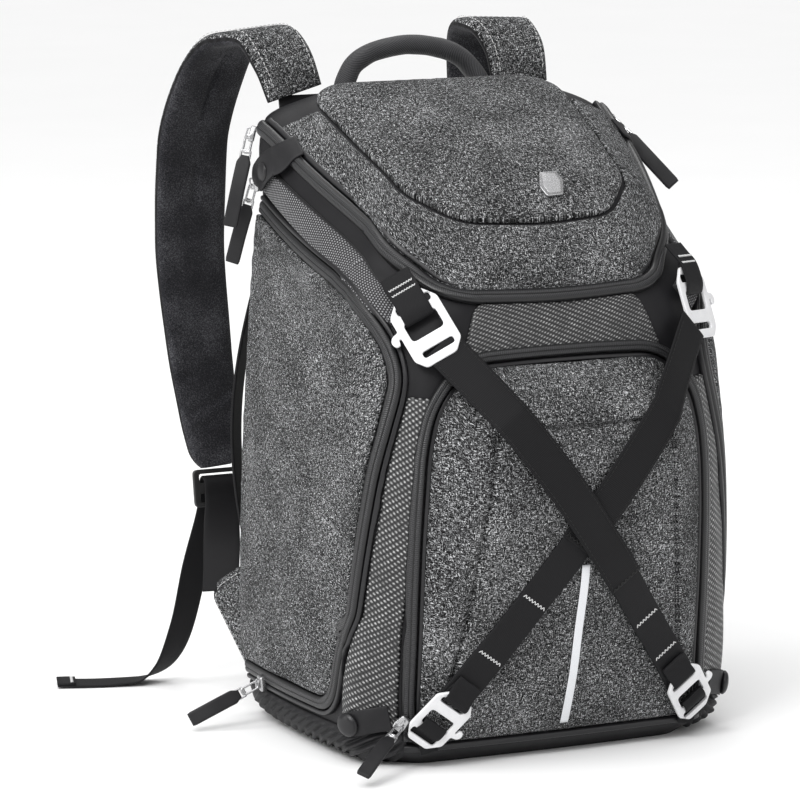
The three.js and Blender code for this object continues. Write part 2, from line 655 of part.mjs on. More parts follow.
// Taut strap from one place on the front to another: it bridges every hollow under it.
// A bow carries its start outwards, round the corner.
function tautStations(start, end, count, width, bow = 0) {
  const spots = Array.from({ length: count + 1 }, (_, index) => {
    const t = index / count;
    const x = start[0] + (end[0] - start[0]) * t - bow * (1 - t) ** 5;
    const z = start[1] + (end[1] - start[1]) * t;
    const side = new THREE.Vector2(end[1] - start[1], start[0] - end[0]).normalize().multiplyScalar(width / 2);
    const reach = Math.max(frontReach(x, z), frontReach(x + side.x, z + side.y), frontReach(x - side.x, z - side.y));
    return { x, z, reach };
  });
  const hull = [];
  spots.forEach((spot, index) => {
    const turnsIn = ([a, b]) => (b.reach - a.reach) * (index - b.index) <= (spot.reach - b.reach) * (b.index - a.index);
    while (hull.length > 1 && turnsIn(hull.slice(-2))) hull.pop();
    hull.push({ index, reach: spot.reach });
  });
  const points = spots.map((spot, index) => {
    const next = hull.findIndex((knot) => knot.index >= index);
    const after = hull[next];
    const before = hull[Math.max(next - 1, 0)];
    const share = after.index === before.index ? 0 : (index - before.index) / (after.index - before.index);
    return new THREE.Vector3(spot.x, -(before.reach + (after.reach - before.reach) * share), spot.z);
  });
  return points.map((point, index) => {
    const along = points[Math.min(index + 1, count)].clone().sub(points[Math.max(index - 1, 0)]).normalize();
    const forward = new THREE.Vector3(0, -1, 0);
    return { point, up: forward.addScaledVector(along, -forward.dot(along)).normalize() };
  });
}

// Crossed straps: a wide double upper part that narrows to the lower part
const STRAP_UPPER_WIDTH = 28;
const STRAP_LOWER_WIDTH = 25;
const UPPER_HOOK = [107, 322];
const LOWER_HOOK = [102, 40];
const STRAP_THICKNESS = 1.6;
const STRAP_LIFT = 1.4;
const OVERPASS_LIFT = 5.8;
const OVERPASS = readTable(["along", "share"], [[0, 0], [0.2, 0], [0.4, 0.8], [0.5, 1], [0.6, 0.8], [0.8, 0], [1, 0]]);
const FORWARD = new THREE.Vector3(0, -1, 0);
function overpassShare(along) {
  const after = Math.max(1, OVERPASS.findIndex((row) => row.along >= along));
  const [start, end] = [OVERPASS[after - 1], OVERPASS[after]];
  return start.share + ((end.share - start.share) * (along - start.along)) / (end.along - start.along);
}
function crossStrap(stations, joinShare, overpass) {
  const last = stations.length - 1;
  const lifted = stations.map(({ point }, index) => {
    const low = STRAP_LIFT + overpass * overpassShare(index / last);
    return { point, up: FORWARD, low, high: low + STRAP_THICKNESS };
  });
  const join = Math.round(last * joinShare);
  const upper = flatStrap(lifted.slice(0, join + 1), STRAP_UPPER_WIDTH);
  const lower = flatStrap(lifted.slice(join), STRAP_LOWER_WIDTH);
  return upper.add(lower);
}
const strapCount = 16;
const fullPathA = tautStations([-UPPER_HOOK[0], UPPER_HOOK[1]], [LOWER_HOOK[0], LOWER_HOOK[1]], strapCount, 30);
const STRAP_B_BOW = 12;
const fullPathB = tautStations([-UPPER_HOOK[0], UPPER_HOOK[1]], [LOWER_HOOK[0], LOWER_HOOK[1]], strapCount, 30, STRAP_B_BOW);
const mirrorStations = (stations) => stations.map(({ point, up }) => ({
  point: new THREE.Vector3(-point.x, point.y, point.z), up: new THREE.Vector3(-up.x, up.y, up.z),
}));
const pocketAndZip = [pocketSolid, pocketZipGrown];
const clearFront = (solid) => pocketAndZip.reduce((left, other) => left.subtract(other), solid.subtract(hullClear));

// Four flat hooks. The upper two lie on the cut corners, each leaning as its strap pulls it.
const HOOK_LIFT = 5;
const HOOK_CLEARANCE = 0.5;
const UPPER_HOOK_PLACES = readTable(["side", "turn", "z", "lean"], [[-1, 4.95, 349, 31], [1, 4.35, 349, 4]]);
const UPPER_HOOK_SCALE = 1;
const LOWER_HOOK_SCALE = 0.8;
const fitAlong = (along, up) => along.clone().addScaledVector(up, -along.dot(up)).normalize();
const upperHooks = UPPER_HOOK_PLACES.map(({ side, turn, z, lean }) => {
  const out = skinNormal(side * turn, z);
  const leaning = new THREE.Vector3(side * Math.tan(THREE.MathUtils.degToRad(lean)), 0, 1);
  return { centre: liftedPoint(side * turn, z, HOOK_LIFT), along: fitAlong(leaning, out), out, side };
});
const hookSpace = ({ centre, along, out }, scale) => {
  const across = along.clone().cross(out).normalize();
  const outline = HOOK_OUTLINE.map(([x, y]) => [x * scale * 1.03, y * scale * 1.03]);
  const origin = centre.clone().addScaledVector(out, -HOOK_THICKNESS / 2 - HOOK_CLEARANCE);
  return plateAt(outline, [], HOOK_THICKNESS + 2 * HOOK_CLEARANCE, origin, across, along);
};
const lowerStation = fullPathA[strapCount];
const lowerAlong = lowerStation.point.clone().sub(fullPathA[strapCount - 2].point);
const lowerPlace = {
  centre: lowerStation.point.clone().addScaledVector(lowerStation.up, 4.6), out: lowerStation.up,
  along: fitAlong(lowerAlong, lowerStation.up),
};
for (const place of upperHooks) {
  const hook = hookPlate(place.centre, place.along, place.out, UPPER_HOOK_SCALE);
  addPiece(`upper_hook_${place.side > 0 ? "right" : "left"}`, hook, "bright_metal");
}
const lowerHook = hookPlate(lowerPlace.centre, lowerPlace.along, lowerPlace.out, LOWER_HOOK_SCALE);
addPiece("lower_hook_right", lowerHook, "bright_metal");
addPiece("lower_hook_left", mirrored(lowerHook), "bright_metal");
const lowerSpace = hookSpace(lowerPlace, LOWER_HOOK_SCALE);
const clearHooks = (solid) => upperHooks.reduce((left, place) => left.subtract(hookSpace(place, UPPER_HOOK_SCALE)),
  solid.subtract(lowerSpace).subtract(mirrored(lowerSpace)));
const strapA = clearHooks(clearFront(crossStrap(fullPathA.slice(1, -1), 0.66, OVERPASS_LIFT)));
const strapB = clearHooks(clearFront(crossStrap(mirrorStations(fullPathB.slice(1, -1)), 0.55, 0)));
addPiece("cross_strap_a", strapA, "webbing");
addPiece("cross_strap_b", strapB, "webbing");

// Reflective strip down the middle of the pocket
const stripRows = [26, 60, 110, 146].map((z) => ({
  point: new THREE.Vector3(0, -frontReach(0, z), z), up: new THREE.Vector3(0, -1, 0),
}));
addPiece("reflective_strip", flatStrap(stripRows, 7, 0.35, 0.75), "silver_strip");

// Webbing loops that hold the lower hooks
const LOOP_PATH = [[6.0, 17], [5.9, 23], [5.85, 28]];
addPair("hook_loop", flatStrap(skinPath(LOOP_PATH, 3), 14, 3.4, 5).subtract(pocketSolid), "webbing");

// Snap tabs: one over the shoulder webbing at the back, one at the foot of the corner strip
const snapAt = (turn, z, lift, radius, height) => {
  const out = skinNormal(turn, z);
  const frame = new THREE.Quaternion().setFromUnitVectors(new THREE.Vector3(0, 0, 1), out);
  const profile = [[0, 0], [radius, 0], [radius, height * 0.35], [radius * 0.75, height * 0.8], [0, height]];
  const geometry = new THREE.LatheGeometry(profile.map(([x, y]) => new THREE.Vector2(x, y)), 10);
  geometry.rotateX(Math.PI / 2);
  geometry.applyQuaternion(frame);
  const centre = liftedPoint(turn, z, lift);
  geometry.translate(centre.x, centre.y, centre.z);
  return solidFromGeometry(geometry);
};
const UPPER_TAB_PATH = [[2.3, 424], [2.25, 414], [2.17, 402], [2.08, 390], [2.0, 378]];
addPair("upper_snap_tab", flatStrap(skinPath(UPPER_TAB_PATH, 6), 22, 1.8, 3.8), "rubber");
addPair("upper_snap", snapAt(2.1, 391, 4.6, 7, 2.2), "smooth_black");
const LOWER_TAB_PATH = [[3.2, 31], [3.6, 33], [4.1, 36], [4.6, 39]];
addPair("lower_snap_tab", flatStrap(skinPath(LOWER_TAB_PATH, 5), 19, 0.9, 2.7), "rubber");
addPair("lower_snap", snapAt(3.45, 32.5, 3.3, 8, 4.5), "smooth_black");

// Metal badge on the lid
const BADGE_OUTLINE = [[-5, -14], [5, -10], [7, 9], [4, 14], [-5, 10], [-7, -9]];
const badgeSpot = { turn: 6.35, z: 442 };
const badgeOut = skinNormal(badgeSpot.turn, badgeSpot.z);
const badgeAlong = fitAlong(new THREE.Vector3(0, 0.9, 0.4), badgeOut);
addPiece("badge", plateAt(BADGE_OUTLINE, [], 2, liftedPoint(badgeSpot.turn, badgeSpot.z, 1.4),
  badgeAlong.clone().cross(badgeOut), badgeAlong), "bright_metal");

// Padded back panel for the wearer
const backPad = {
  bottom: 34, top: 372, corners: [24, 24, 24, 24], rows: 5, columns: 5,
  lowTurn: () => -1.1,
  highTurn: () => 1.1,
};
addPiece("back_panel", skinPad(backPad, 2, 8), "smooth_black");

// Carry handle with its two anchors on the back edge of the lid
const HANDLE_RADIUS = 8;
const HANDLE_PATH = [
  [-59, 104, 449], [-58, 114, 466], [-48, 121, 484], [-28, 123, 495], [0, 123, 499], [28, 123, 495],
  [48, 121, 484], [58, 114, 466], [59, 104, 449],
];
addPiece("carry_handle", roundBar(HANDLE_PATH, HANDLE_RADIUS, 14, 2).subtract(hullClear), "webbing");

// Shoulder straps: up from the back, over and down behind the bag
const STRAP_COLUMNS = ["at", "up", "width"];
const SHOULDER_COLUMNS = ["x", "lean", "y", "z", "up", "width"];
const SHOULDER_STRAP = readTable(SHOULDER_COLUMNS, [
  [95, 5, 112, 467, [0, -0.98, 0.2], 46],
  [98, 9, 119, 492, [0, -0.85, 0.5], 50],
  [100, 15, 138, 509, [0, -0.2, 1], 55],
  [107, 18, 164, 505, [0.2, 0.5, 0.85], 60],
  [119, 18, 188, 472, [0.25, 0.95, 0.3], 65],
  [128, 17, 202, 420, [0.25, 1, 0.1], 66],
  [132, 14, 206, 350, [0.2, 1, 0], 63],
  [134, 9, 200, 280, [0.15, 1, -0.08], 58],
  [135, 3, 191, 215, [0.1, 1, -0.12], 50],
  [135, 0, 184, 174, [0, 1, -0.15], 38],
]);
const SHOULDER_THICKNESS = 12;
function shoulderStrap(side) {
  const rows = SHOULDER_STRAP.map(({ x, lean, y, z, up, width }) => ({
    at: [side * x - lean, y, z], up: [side * up[0], up[1], up[2]], width,
  }));
  return flatStrap(freePath(rows, 13), 60, -SHOULDER_THICKNESS / 2, SHOULDER_THICKNESS / 2);
}
const strapRight = shoulderStrap(1);
const strapLeft = shoulderStrap(-1);
addPiece("shoulder_strap_right", strapRight, "melange");
addPiece("shoulder_strap_left", strapLeft, "melange");
const UPPER_BAND = readTable(STRAP_COLUMNS, [
  [[93, 104, 436], [0, -1, 0.1], 42],
  [[93, 108, 450], [0, -1, 0.1], 42],
  [[93, 111.6, 466.4], [0, -1, 0.1], 42],
]);
const strapBand = flatStrap(freePath(UPPER_BAND, 2), 42, -1.5, 1.5).subtract(hullClear);
addPiece("strap_band_right", strapBand.subtract(strapRight.translate([0, 0, -GAP])), "webbing");
addPiece("strap_band_left", mirrored(strapBand).subtract(hullClear).subtract(strapLeft.translate([0, 0, -GAP])), "webbing");

// Ladder buckle at the lower end of the strap, with one webbing that runs up from the wing,
// over the buckle's middle bar and down to the loose end on the floor
const BUCKLE_SLOTS = [roundedRectangle(32, 7, 2, 1, [0, 7.5]), roundedRectangle(32, 7, 2, 1, [0, -7.5])];
const buckleAlong = new THREE.Vector3(0, 0.16, 1).normalize();
const buckleOut = fitAlong(new THREE.Vector3(0, -1, 0), buckleAlong);
const BUCKLE_CENTRE = new THREE.Vector3(135, 180.6, 158.2);
addPair("strap_buckle", plateAt(roundedRectangle(42, 29, 3, 1), BUCKLE_SLOTS, 3, BUCKLE_CENTRE,
  buckleAlong.clone().cross(buckleOut), buckleAlong), "bright_metal");
const LOWER_WEBBING = readTable(STRAP_COLUMNS, [
  [[155, 131, 88], [0.5, -0.7, 0.6], 28],
  [[149, 143, 103], [0.5, -0.7, 0.6], 28],
  [[140, 162, 130], [0.2, -0.9, 0.4], 28],
  [[135, 174.5, 153], [0, -1, 0.2], 27],
  [[135, 176.5, 163], [0, -1, 0.5], 26],
  [[135, 181.4, 167], [0, 0.1, 1], 26],
  [[135, 186, 163], [0, 1, 0.5], 26],
  [[136, 187, 148], [0, 1, 0.1], 25],
  [[148, 195, 95], [0.2, 1, 0.15], 25],
  [[157, 203, 45], [0.3, 1, 0.3], 25],
  [[168, 211, 16], [0.3, 0.7, 0.8], 25],
  [[188, 220, 3], [0.1, 0.1, 1], 25],
  [[218, 230, 1.6], [0, 0, 1], 25],
  [[246, 240, 2.2], [0, 0, 1], 25],
]);
const lowerWebbing = flatStrap(freePath(LOWER_WEBBING, 26), 25, -0.7, 0.7);

// Wings at the foot of the back that carry the lower webbing
const WING_OUTLINE = [[0, 0], [0, 92], [14, 94], [38, 78], [42, 66]];
const wingAcross = new THREE.Vector3(0.5, 0.86, 0).normalize();
const WING_THICKNESS = 5;
const WING_FOOT = new THREE.Vector3(135, 104, 16);
const wing = plateAt(WING_OUTLINE, [], WING_THICKNESS, WING_FOOT, wingAcross, new THREE.Vector3(0, 0, 1));
addPair("strap_wing", wing.subtract(hullClear), "melange");
addPair("strap_webbing", lowerWebbing.subtract(wing), "webbing");

// Grab handles on the sides, over the back edge of the side panels
const SIDE_HANDLE = [[1.36, 128], [1.36, 150], [1.36, 210], [1.36, 290], [1.36, 312]];
const SIDE_HANDLE_WIDTH = 16;
const sideHandleLifts = [-2, 3, 9, 3, -2];
const sideHandlePath = freePath(SIDE_HANDLE.map(([turn, z], index) => ({
  at: liftedPoint(turn, z, sideHandleLifts[index]).toArray(), up: skinNormal(turn, z).toArray(), width: SIDE_HANDLE_WIDTH,
})), 8);
addPair("side_handle", flatStrap(sideHandlePath, SIDE_HANDLE_WIDTH, -1, 1).subtract(hullClear), "webbing");

// Zip pulls: a metal slider with its link, and a soft tab that hangs from it
const PULL_COLUMNS = ["name", "turn", "z", "lift", "hang", "face", "tab", "side"];
const PULLS = readTable(PULL_COLUMNS, [
  ["lid_left", 1.6, 400, 0.8, [0.28, -0.08, -1], [0.5, -0.8, 0.2], 54, -1],
  ["lid_right", 1.85, 402, 3, [0.42, -0.6, -0.66], [-0.5, -0.8, 0.2], 54, 1],
  ["side_top_left", 1.7, 374, -1, [0.2, 0.22, -1], [0.5, -0.8, 0.2], 46, -1],
  ["side_foot_left", 2.2, 34, 0.4, [0.8, 0.1, -0.36], [0.5, -0.8, 0.2], 42, -1],
  ["front_foot_left", 4.9, 36, 2.6, [0.72, -0.5, -0.4], [0.4, -0.7, 0.6], 44, -1],
]);
const SLIDER_SIZE = [9, 12, 5];
const LINK_SIZE = [7, 15, 1.6];
const TAB_SIZE = [11, 2.6];
const LINK_REACH = 8;
const TAB_START = 16;
for (const pull of PULLS) {
  const out = skinNormal(pull.turn, pull.z);
  const base = liftedPoint(pull.turn, pull.z, pull.lift);
  const free = new THREE.Vector3(...pull.hang).normalize();
  const flat = fitAlong(free, out);
  const side = flat.clone().cross(out).normalize();
  const hangAcross = free.clone().cross(new THREE.Vector3(...pull.face)).normalize();
  const slider = plateAt(roundedRectangle(SLIDER_SIZE[0], SLIDER_SIZE[1], 2, 1), [], SLIDER_SIZE[2], base, side, flat);
  const root = base.clone().addScaledVector(out, SLIDER_SIZE[2] - LINK_SIZE[2]);
  const link = plateAt(roundedRectangle(LINK_SIZE[0], LINK_SIZE[1], 2, 1), [roundedRectangle(3.4, 10, 1, 1)],
    LINK_SIZE[2], root.clone().addScaledVector(free, LINK_REACH), hangAcross, free);
  const tab = plateAt(roundedRectangle(TAB_SIZE[0], pull.tab, 2, 1), [], TAB_SIZE[1],
    root.clone().addScaledVector(free, TAB_START + pull.tab / 2), hangAcross, free);
  const turned = (solid) => (pull.side > 0 ? solid : mirrored(solid)).subtract(hullClear);
  addPiece(`zip_slider_${pull.name}`, turned(slider.add(link)), "bright_metal");
  addPiece(`zip_tab_${pull.name}`, turned(tab), "rubber");
}

// Assembly
const assembly = new THREE.Group();
assembly.name = "camera_backpack";
for (const { name, solid, look } of pieces) {
  const data = solid.getMesh();
  const geometry = new THREE.BufferGeometry();
  geometry.setAttribute("position", new THREE.BufferAttribute(new Float32Array(data.vertProperties), 3));
  geometry.setIndex(new THREE.BufferAttribute(new Uint32Array(data.triVerts), 1));
  geometry.computeVertexNormals();
  const { color, roughness, metalness } = LOOKS[look];
  const mesh = new THREE.Mesh(geometry, new THREE.MeshStandardMaterial({ color, roughness, metalness }));
  mesh.name = name;
  assembly.add(mesh);
}
export default assembly;
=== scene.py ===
import math

import bmesh
import bpy
import numpy as np
from mathutils import Matrix, Vector


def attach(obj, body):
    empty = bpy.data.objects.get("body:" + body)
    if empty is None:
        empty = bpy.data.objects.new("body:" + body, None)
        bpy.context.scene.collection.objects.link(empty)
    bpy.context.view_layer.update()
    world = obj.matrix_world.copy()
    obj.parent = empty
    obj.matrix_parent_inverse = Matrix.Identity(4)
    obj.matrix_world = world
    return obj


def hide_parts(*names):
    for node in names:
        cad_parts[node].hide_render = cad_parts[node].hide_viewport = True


# A camera backpack. Soft pads, zips and straps are laid on one skin. Sizes are in millimetres here and
# become metres where a mesh is made.
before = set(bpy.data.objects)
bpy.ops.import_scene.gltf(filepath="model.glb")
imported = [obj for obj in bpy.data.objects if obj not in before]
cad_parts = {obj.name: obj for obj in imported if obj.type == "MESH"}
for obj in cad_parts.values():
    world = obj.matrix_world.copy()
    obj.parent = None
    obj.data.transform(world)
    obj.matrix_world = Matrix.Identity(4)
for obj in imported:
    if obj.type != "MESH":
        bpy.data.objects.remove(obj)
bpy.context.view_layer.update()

MM = 0.001
BODY = "root"
TURN_STEP = 0.02

# The photograph's view
CAMERA_AZIMUTH = -26.0
CAMERA_ELEVATION = 9.6
CAMERA_DISTANCE = 3.6
CAMERA_TARGET = (-0.019, 0.098, 0.230)
CAMERA_LENS = 212.2
CAMERA_SENSOR = 36.0

# Layers over the skin, in millimetres
SHELL_LIFT = -3.0
SHELL_WALL = 3.0
PAD_BASE = -2.9
HALF_TURN = 7
LID_LINE = 401.0
LID_TOP = 450.0
SEAM_GAP = 0.3
BASE_HEIGHT = 26.0
BASE_FRONT_HEIGHT = 13.0

# The skin, one row a height: height, tilt in degrees, half width, front, back, cut corner across and
# along, front radius, back radius, bow of front and sides, flare of the back corner
SECTIONS = [
    [0, 0, 136, 108, 92, 34, 28, 26, 28, 2, 0],
    [14, 0, 151, 123, 104, 38, 28, 24, 28, 3, 0],
    [60, 0, 156, 127, 112, 41, 29, 22, 30, 4, 0],
    [140, 1, 154, 134, 116, 41, 29, 22, 30, 5, 0],
    [220, 3, 150, 138, 118, 40, 30, 24, 30, 5, 0],
    [290, 7, 146, 136, 117, 42, 32, 36, 30, 5, 0],
    [335, 11.5, 143, 132, 116, 48, 36, 42, 30, 5, 0],
    [364, 16, 140, 129, 115, 52, 38, 46, 32, 4, 2],
    [384, 20.5, 132, 127, 113, 52, 42, 50, 30, 4, 16],
    [401, 24.5, 118, 125, 111, 48, 42, 50, 28, 4, 33],
    [414, 24.5, 115, 120, 108, 48, 42, 50, 28, 4, 34],
    [430, 25, 105, 106, 100, 44, 38, 44, 30, 3, 9],
    [441, 25, 84, 82, 83, 34, 30, 34, 26, 2, 0],
    [448, 25, 44, 42, 48, 18, 16, 18, 14, 1, 0],
    [450, 25, 2, 2, 2, 0.6, 0.6, 0.4, 0.4, 0, 0],
]

# Where the side panel ends at the front: height, turn
SIDE_FRONT_EDGE = [
    [0, 2.86], [60, 2.9], [100, 2.96], [153, 3.15], [214, 3.45], [262, 3.8], [300, 3.95], [400, 3.95],
]
# Where the corner strip ends at the front: height, turn
STRIP_FRONT_EDGE = [[0, 4.78], [100, 4.78], [150, 4.9], [200, 5.05], [240, 5.25], [288, 5.5], [400, 5.5]]

# Front pocket: height, outer edge, seam of the raised middle, bulge
POCKET_ROWS = [
    [18.5, 111, 98, 0], [26, 111.5, 97, 2], [60, 112.5, 93, 9], [110, 112.5, 86, 16],
    [170, 111.5, 78, 22], [225, 108.5, 72, 26.5], [254, 103, 69, 26.5], [266, 98, 66, 19],
    [279, 88, 60, 11], [287, 79, 52, 6], [292, 66, 44, 2],
]


def blend_rows(rows, values):
    """Blends a table's columns at many values of its first column, with slopes that never overshoot."""
    rows = np.asarray(rows, float)
    keys = rows[:, 0]
    values = np.clip(np.atleast_1d(np.asarray(values, float)), keys[0], keys[-1])
    low = np.clip(np.searchsorted(keys, values, side="right") - 1, 0, len(keys) - 2)
    steps = np.diff(keys)
    secants = np.diff(rows, axis=0) / steps[:, None]
    slopes = np.empty_like(rows)
    slopes[0], slopes[-1] = secants[0], secants[-1]
    product = secants[:-1] * secants[1:]
    total = secants[:-1] + secants[1:]
    slopes[1:-1] = np.where(product <= 0, 0, 2 * product / np.where(total == 0, 1, total))
    span = steps[low][:, None]
    t = ((values - keys[low]) / steps[low])[:, None]
    start = (2 * t**3 - 3 * t**2 + 1) * rows[low] + (t**3 - 2 * t**2 + t) * slopes[low] * span
    return start + (3 * t**2 - 2 * t**3) * rows[low + 1] + (t**3 - t**2) * slopes[low + 1] * span


def unit(vectors):
    vectors = np.asarray(vectors, float)
    return vectors / np.maximum(np.linalg.norm(vectors, axis=-1, keepdims=True), 1e-9)


def smooth_step(low, high, value):
    t = np.clip((value - low) / (high - low), 0, 1)
    return t * t * (3 - 2 * t)


def round_corner(before, corner, after, radius):
    """Start, end, centre and radius of the arcs that round many corners of an outline."""
    incoming, outgoing = corner - before, after - corner
    room = 0.45 * np.minimum(np.linalg.norm(incoming, axis=1), np.linalg.norm(outgoing, axis=1))
    incoming, outgoing = unit(incoming), unit(outgoing)
    bend = np.arccos(np.clip(np.sum(incoming * outgoing, axis=1), -1, 1))
    reach = np.minimum(radius * np.tan(bend / 2), room)
    arc_radius = reach / np.tan(bend / 2)
    inward = np.stack([incoming[:, 1], -incoming[:, 0]], axis=1)
    inward *= np.where(np.sum(inward * outgoing, axis=1) < 0, -1, 1)[:, None]
    start = corner - incoming * reach[:, None]
    return start, corner + outgoing * reach[:, None], start + inward * arc_radius[:, None], arc_radius


def skin(turn, z):
    """Points of the skin. Turn 0 is the back's middle and 7 the front's. Negative turns are at -X."""
    turn, z = np.broadcast_arrays(np.asarray(turn, float), np.asarray(z, float))
    shape = turn.shape
    turn, z = turn.ravel(), z.ravel()
    row = blend_rows(SECTIONS, z)
    half, front, back, cut_x, cut_y, front_r, back_r, bow, flare = row[:, 2:].T
    past = np.abs(turn) > HALF_TURN
    amount = np.where(past, 2 * HALF_TURN - np.abs(turn), np.abs(turn))
    stretch = np.clip(np.floor(amount), 0, HALF_TURN - 1).astype(int)
    t = amount - stretch
    zero = np.zeros_like(half)
    outline = ((zero, back), (half + flare, back), (half, cut_y - front), (half - cut_x, -front),
               (zero, -front))
    corners = [np.stack(pair, axis=1) for pair in outline]
    radii = (back_r, front_r, front_r)
    arcs = [round_corner(corners[i], corners[i + 1], corners[i + 2], radii[i]) for i in range(3)]
    starts = [corners[0], arcs[0][1], arcs[1][1], arcs[2][1]]
    ends = [arcs[0][0], arcs[1][0], arcs[2][0], corners[4]]
    place = np.zeros((len(turn), 2))
    for index in range(HALF_TURN):
        here = stretch == index
        if not here.any():
            continue
        share = t[here][:, None]
        if index % 2:
            start, end, centre, radius = (part[here] for part in arcs[(index - 1) // 2])
            first = np.arctan2((start - centre)[:, 1], (start - centre)[:, 0])
            last = np.arctan2((end - centre)[:, 1], (end - centre)[:, 0])
            angle = first + ((last - first + 3 * np.pi) % (2 * np.pi) - np.pi) * t[here]
            place[here] = centre + radius[:, None] * np.stack([np.cos(angle), np.sin(angle)], axis=1)
        else:
            place[here] = starts[index // 2][here] * (1 - share) + ends[index // 2][here] * share
            if index == 2:
                place[here, 0] += bow[here] * np.sin(np.pi * t[here])
            if index == 6:
                place[here, 1] -= bow[here] * np.sin(np.pi / 2 * t[here])
    place[:, 0] *= np.where(past != (turn < 0), -1, 1)
    tilt = np.radians(row[:, 1])
    points = [place[:, 0], place[:, 1] * np.cos(tilt), row[:, 0] + place[:, 1] * np.sin(tilt)]
    return np.stack(points, axis=1).reshape(shape + (3,))


def skin_slopes(turn, z):
    """How the skin runs round the bag and up it, per unit of turn and per millimetre of height."""
    around = (skin(turn + TURN_STEP, z) - skin(turn - TURN_STEP, z)) / (2 * TURN_STEP)
    high, low = np.minimum(z + 0.8, LID_TOP), np.maximum(z - 0.8, 0)
    up = (skin(turn, high) - skin(turn, low)) / (high - low)[..., None]
    return around, up


def skin_normal(turn, z):
    turn, z = np.broadcast_arrays(np.asarray(turn, float), np.asarray(z, float))
    around, up = skin_slopes(turn, z)
    normal = unit(np.cross(up, around))
    outward = skin(turn, z) - np.stack([np.zeros_like(z), np.zeros_like(z), z - 40], axis=-1)
    return normal * np.where(np.sum(normal * outward, axis=-1) < 0, -1, 1)[..., None]


def lifted(turn, z, lift):
    return skin(turn, z) + skin_normal(turn, z) * np.asarray(lift, float)[..., None]


def walk_turn(turn, z, distance, steps=10):
    """Moves round the skin at one height by a real distance and returns the new turn."""
    turn, z, distance = np.broadcast_arrays(*(np.asarray(v, float) for v in (turn, z, distance)))
    place = turn.copy()
    for _ in range(steps):
        speed = np.linalg.norm(skin(place + TURN_STEP, z) - skin(place, z), axis=-1) / TURN_STEP
        place = place + distance / steps / speed
    return place


def slide(turn, z, across, distance, steps=3):
    """Moves over the skin along directions in space by real distances: new turns and heights."""
    turn, z = np.array(turn, float), np.array(z, float)
    for _ in range(steps):
        around, up = skin_slopes(turn, z)
        aa, uu, au = (np.sum(a * b, axis=-1) for a, b in ((around, around), (up, up), (around, up)))
        da, du = np.sum(across * around, axis=-1), np.sum(across * up, axis=-1)
        determinant = np.maximum(aa * uu - au**2, 1e-6)
        step_turn, step_z = (da * uu - du * au) / determinant, (du * aa - da * au) / determinant
        moved = np.linalg.norm(around * step_turn[..., None] + up * step_z[..., None], axis=-1)
        scale = distance / steps / np.maximum(moved, 1e-6)
        turn, z = turn + step_turn * scale, np.clip(z + step_z * scale, 0, LID_TOP)
    return turn, z


def front_place(x, height):
    """Turns and heights of the places on the skin's front at given widths and real heights."""
    x, height = np.broadcast_arrays(np.asarray(x, float), np.asarray(height, float))
    z = height + 10
    for _ in range(7):
        low, high = np.full(x.shape, 3.0), np.full(x.shape, float(HALF_TURN))
        for _ in range(16):
            turn = (low + high) / 2
            outside = skin(turn, z)[..., 0] > np.abs(x)
            low, high = np.where(outside, turn, low), np.where(outside, high, turn)
        z = z + height - skin(turn, z)[..., 2]
    return np.where(x < 0, -turn, turn), z


def waves(u, v, wavelength, seed, count=7):
    """Smooth seeded unevenness, mostly between -1 and 1."""
    rng = np.random.default_rng(seed)
    total = 0
    for _ in range(count):
        angle, phase = rng.uniform(0, 2 * np.pi, 2)
        scale = 2 * np.pi * rng.uniform(0.7, 1.4) / wavelength
        total = total + np.sin(scale * (np.cos(angle) * u + np.sin(angle) * v) + phase)
    return total / math.sqrt(count)


def smoothed(values, width, **padding):
    """A running average over an odd number of values."""
    kernel = np.hanning(width) / np.hanning(width).sum()
    return np.convolve(np.pad(values, width // 2, **(padding or {"mode": "edge"})), kernel, mode="valid")


# Meshes

def mesh_object(name, points, faces, uv=None, smooth=True):
    """One object from points in millimetres. Faces is a list of arrays of quads or triangles."""
    mesh = bpy.data.meshes.new(name)
    loops = np.concatenate([np.asarray(group).ravel() for group in faces]).astype(np.int32)
    sizes = np.concatenate([np.full(len(group), np.asarray(group).shape[1]) for group in faces])
    mesh.vertices.add(len(points))
    mesh.vertices.foreach_set("co", (np.asarray(points, float) * MM).ravel())
    mesh.loops.add(len(loops))
    mesh.loops.foreach_set("vertex_index", loops)
    mesh.polygons.add(len(sizes))
    mesh.polygons.foreach_set("loop_start", np.concatenate([[0], np.cumsum(sizes)[:-1]]).astype(np.int32))
    mesh.polygons.foreach_set("use_smooth", np.full(len(sizes), smooth))
    mesh.update(calc_edges=True)
    if uv is not None:
        layer = mesh.uv_layers.new(name="cloth")
        layer.data.foreach_set("uv", (np.asarray(uv, float) * MM)[loops].ravel())
    thing = bpy.data.objects.new(name, mesh)
    bpy.context.scene.collection.objects.link(thing)
    return thing


def grid_quads(rows, columns, wrap=False, offset=0, flip=False):
    across = columns if wrap else columns - 1
    row, column = np.meshgrid(np.arange(rows - 1), np.arange(across), indexing="ij")
    after = (column + 1) % columns
    a, b = row * columns + column, row * columns + after
    quads = np.stack([a, b, b + columns, a + columns], axis=-1).reshape(-1, 4) + offset
    return quads[:, ::-1] if flip else quads


def signed_volume(points, faces):
    total = 0.0
    for group in faces:
        group = np.asarray(group)
        for index in range(1, group.shape[1] - 1):
            a, b, c = points[group[:, 0]], points[group[:, index]], points[group[:, index + 1]]
            total += np.sum(a * np.cross(b, c)) / 6
    return total


def facing_out(points, faces):
    """The faces, turned over where they would face inwards."""
    if signed_volume(points, faces) < 0:
        return [np.asarray(group)[:, ::-1] for group in faces]
    return faces


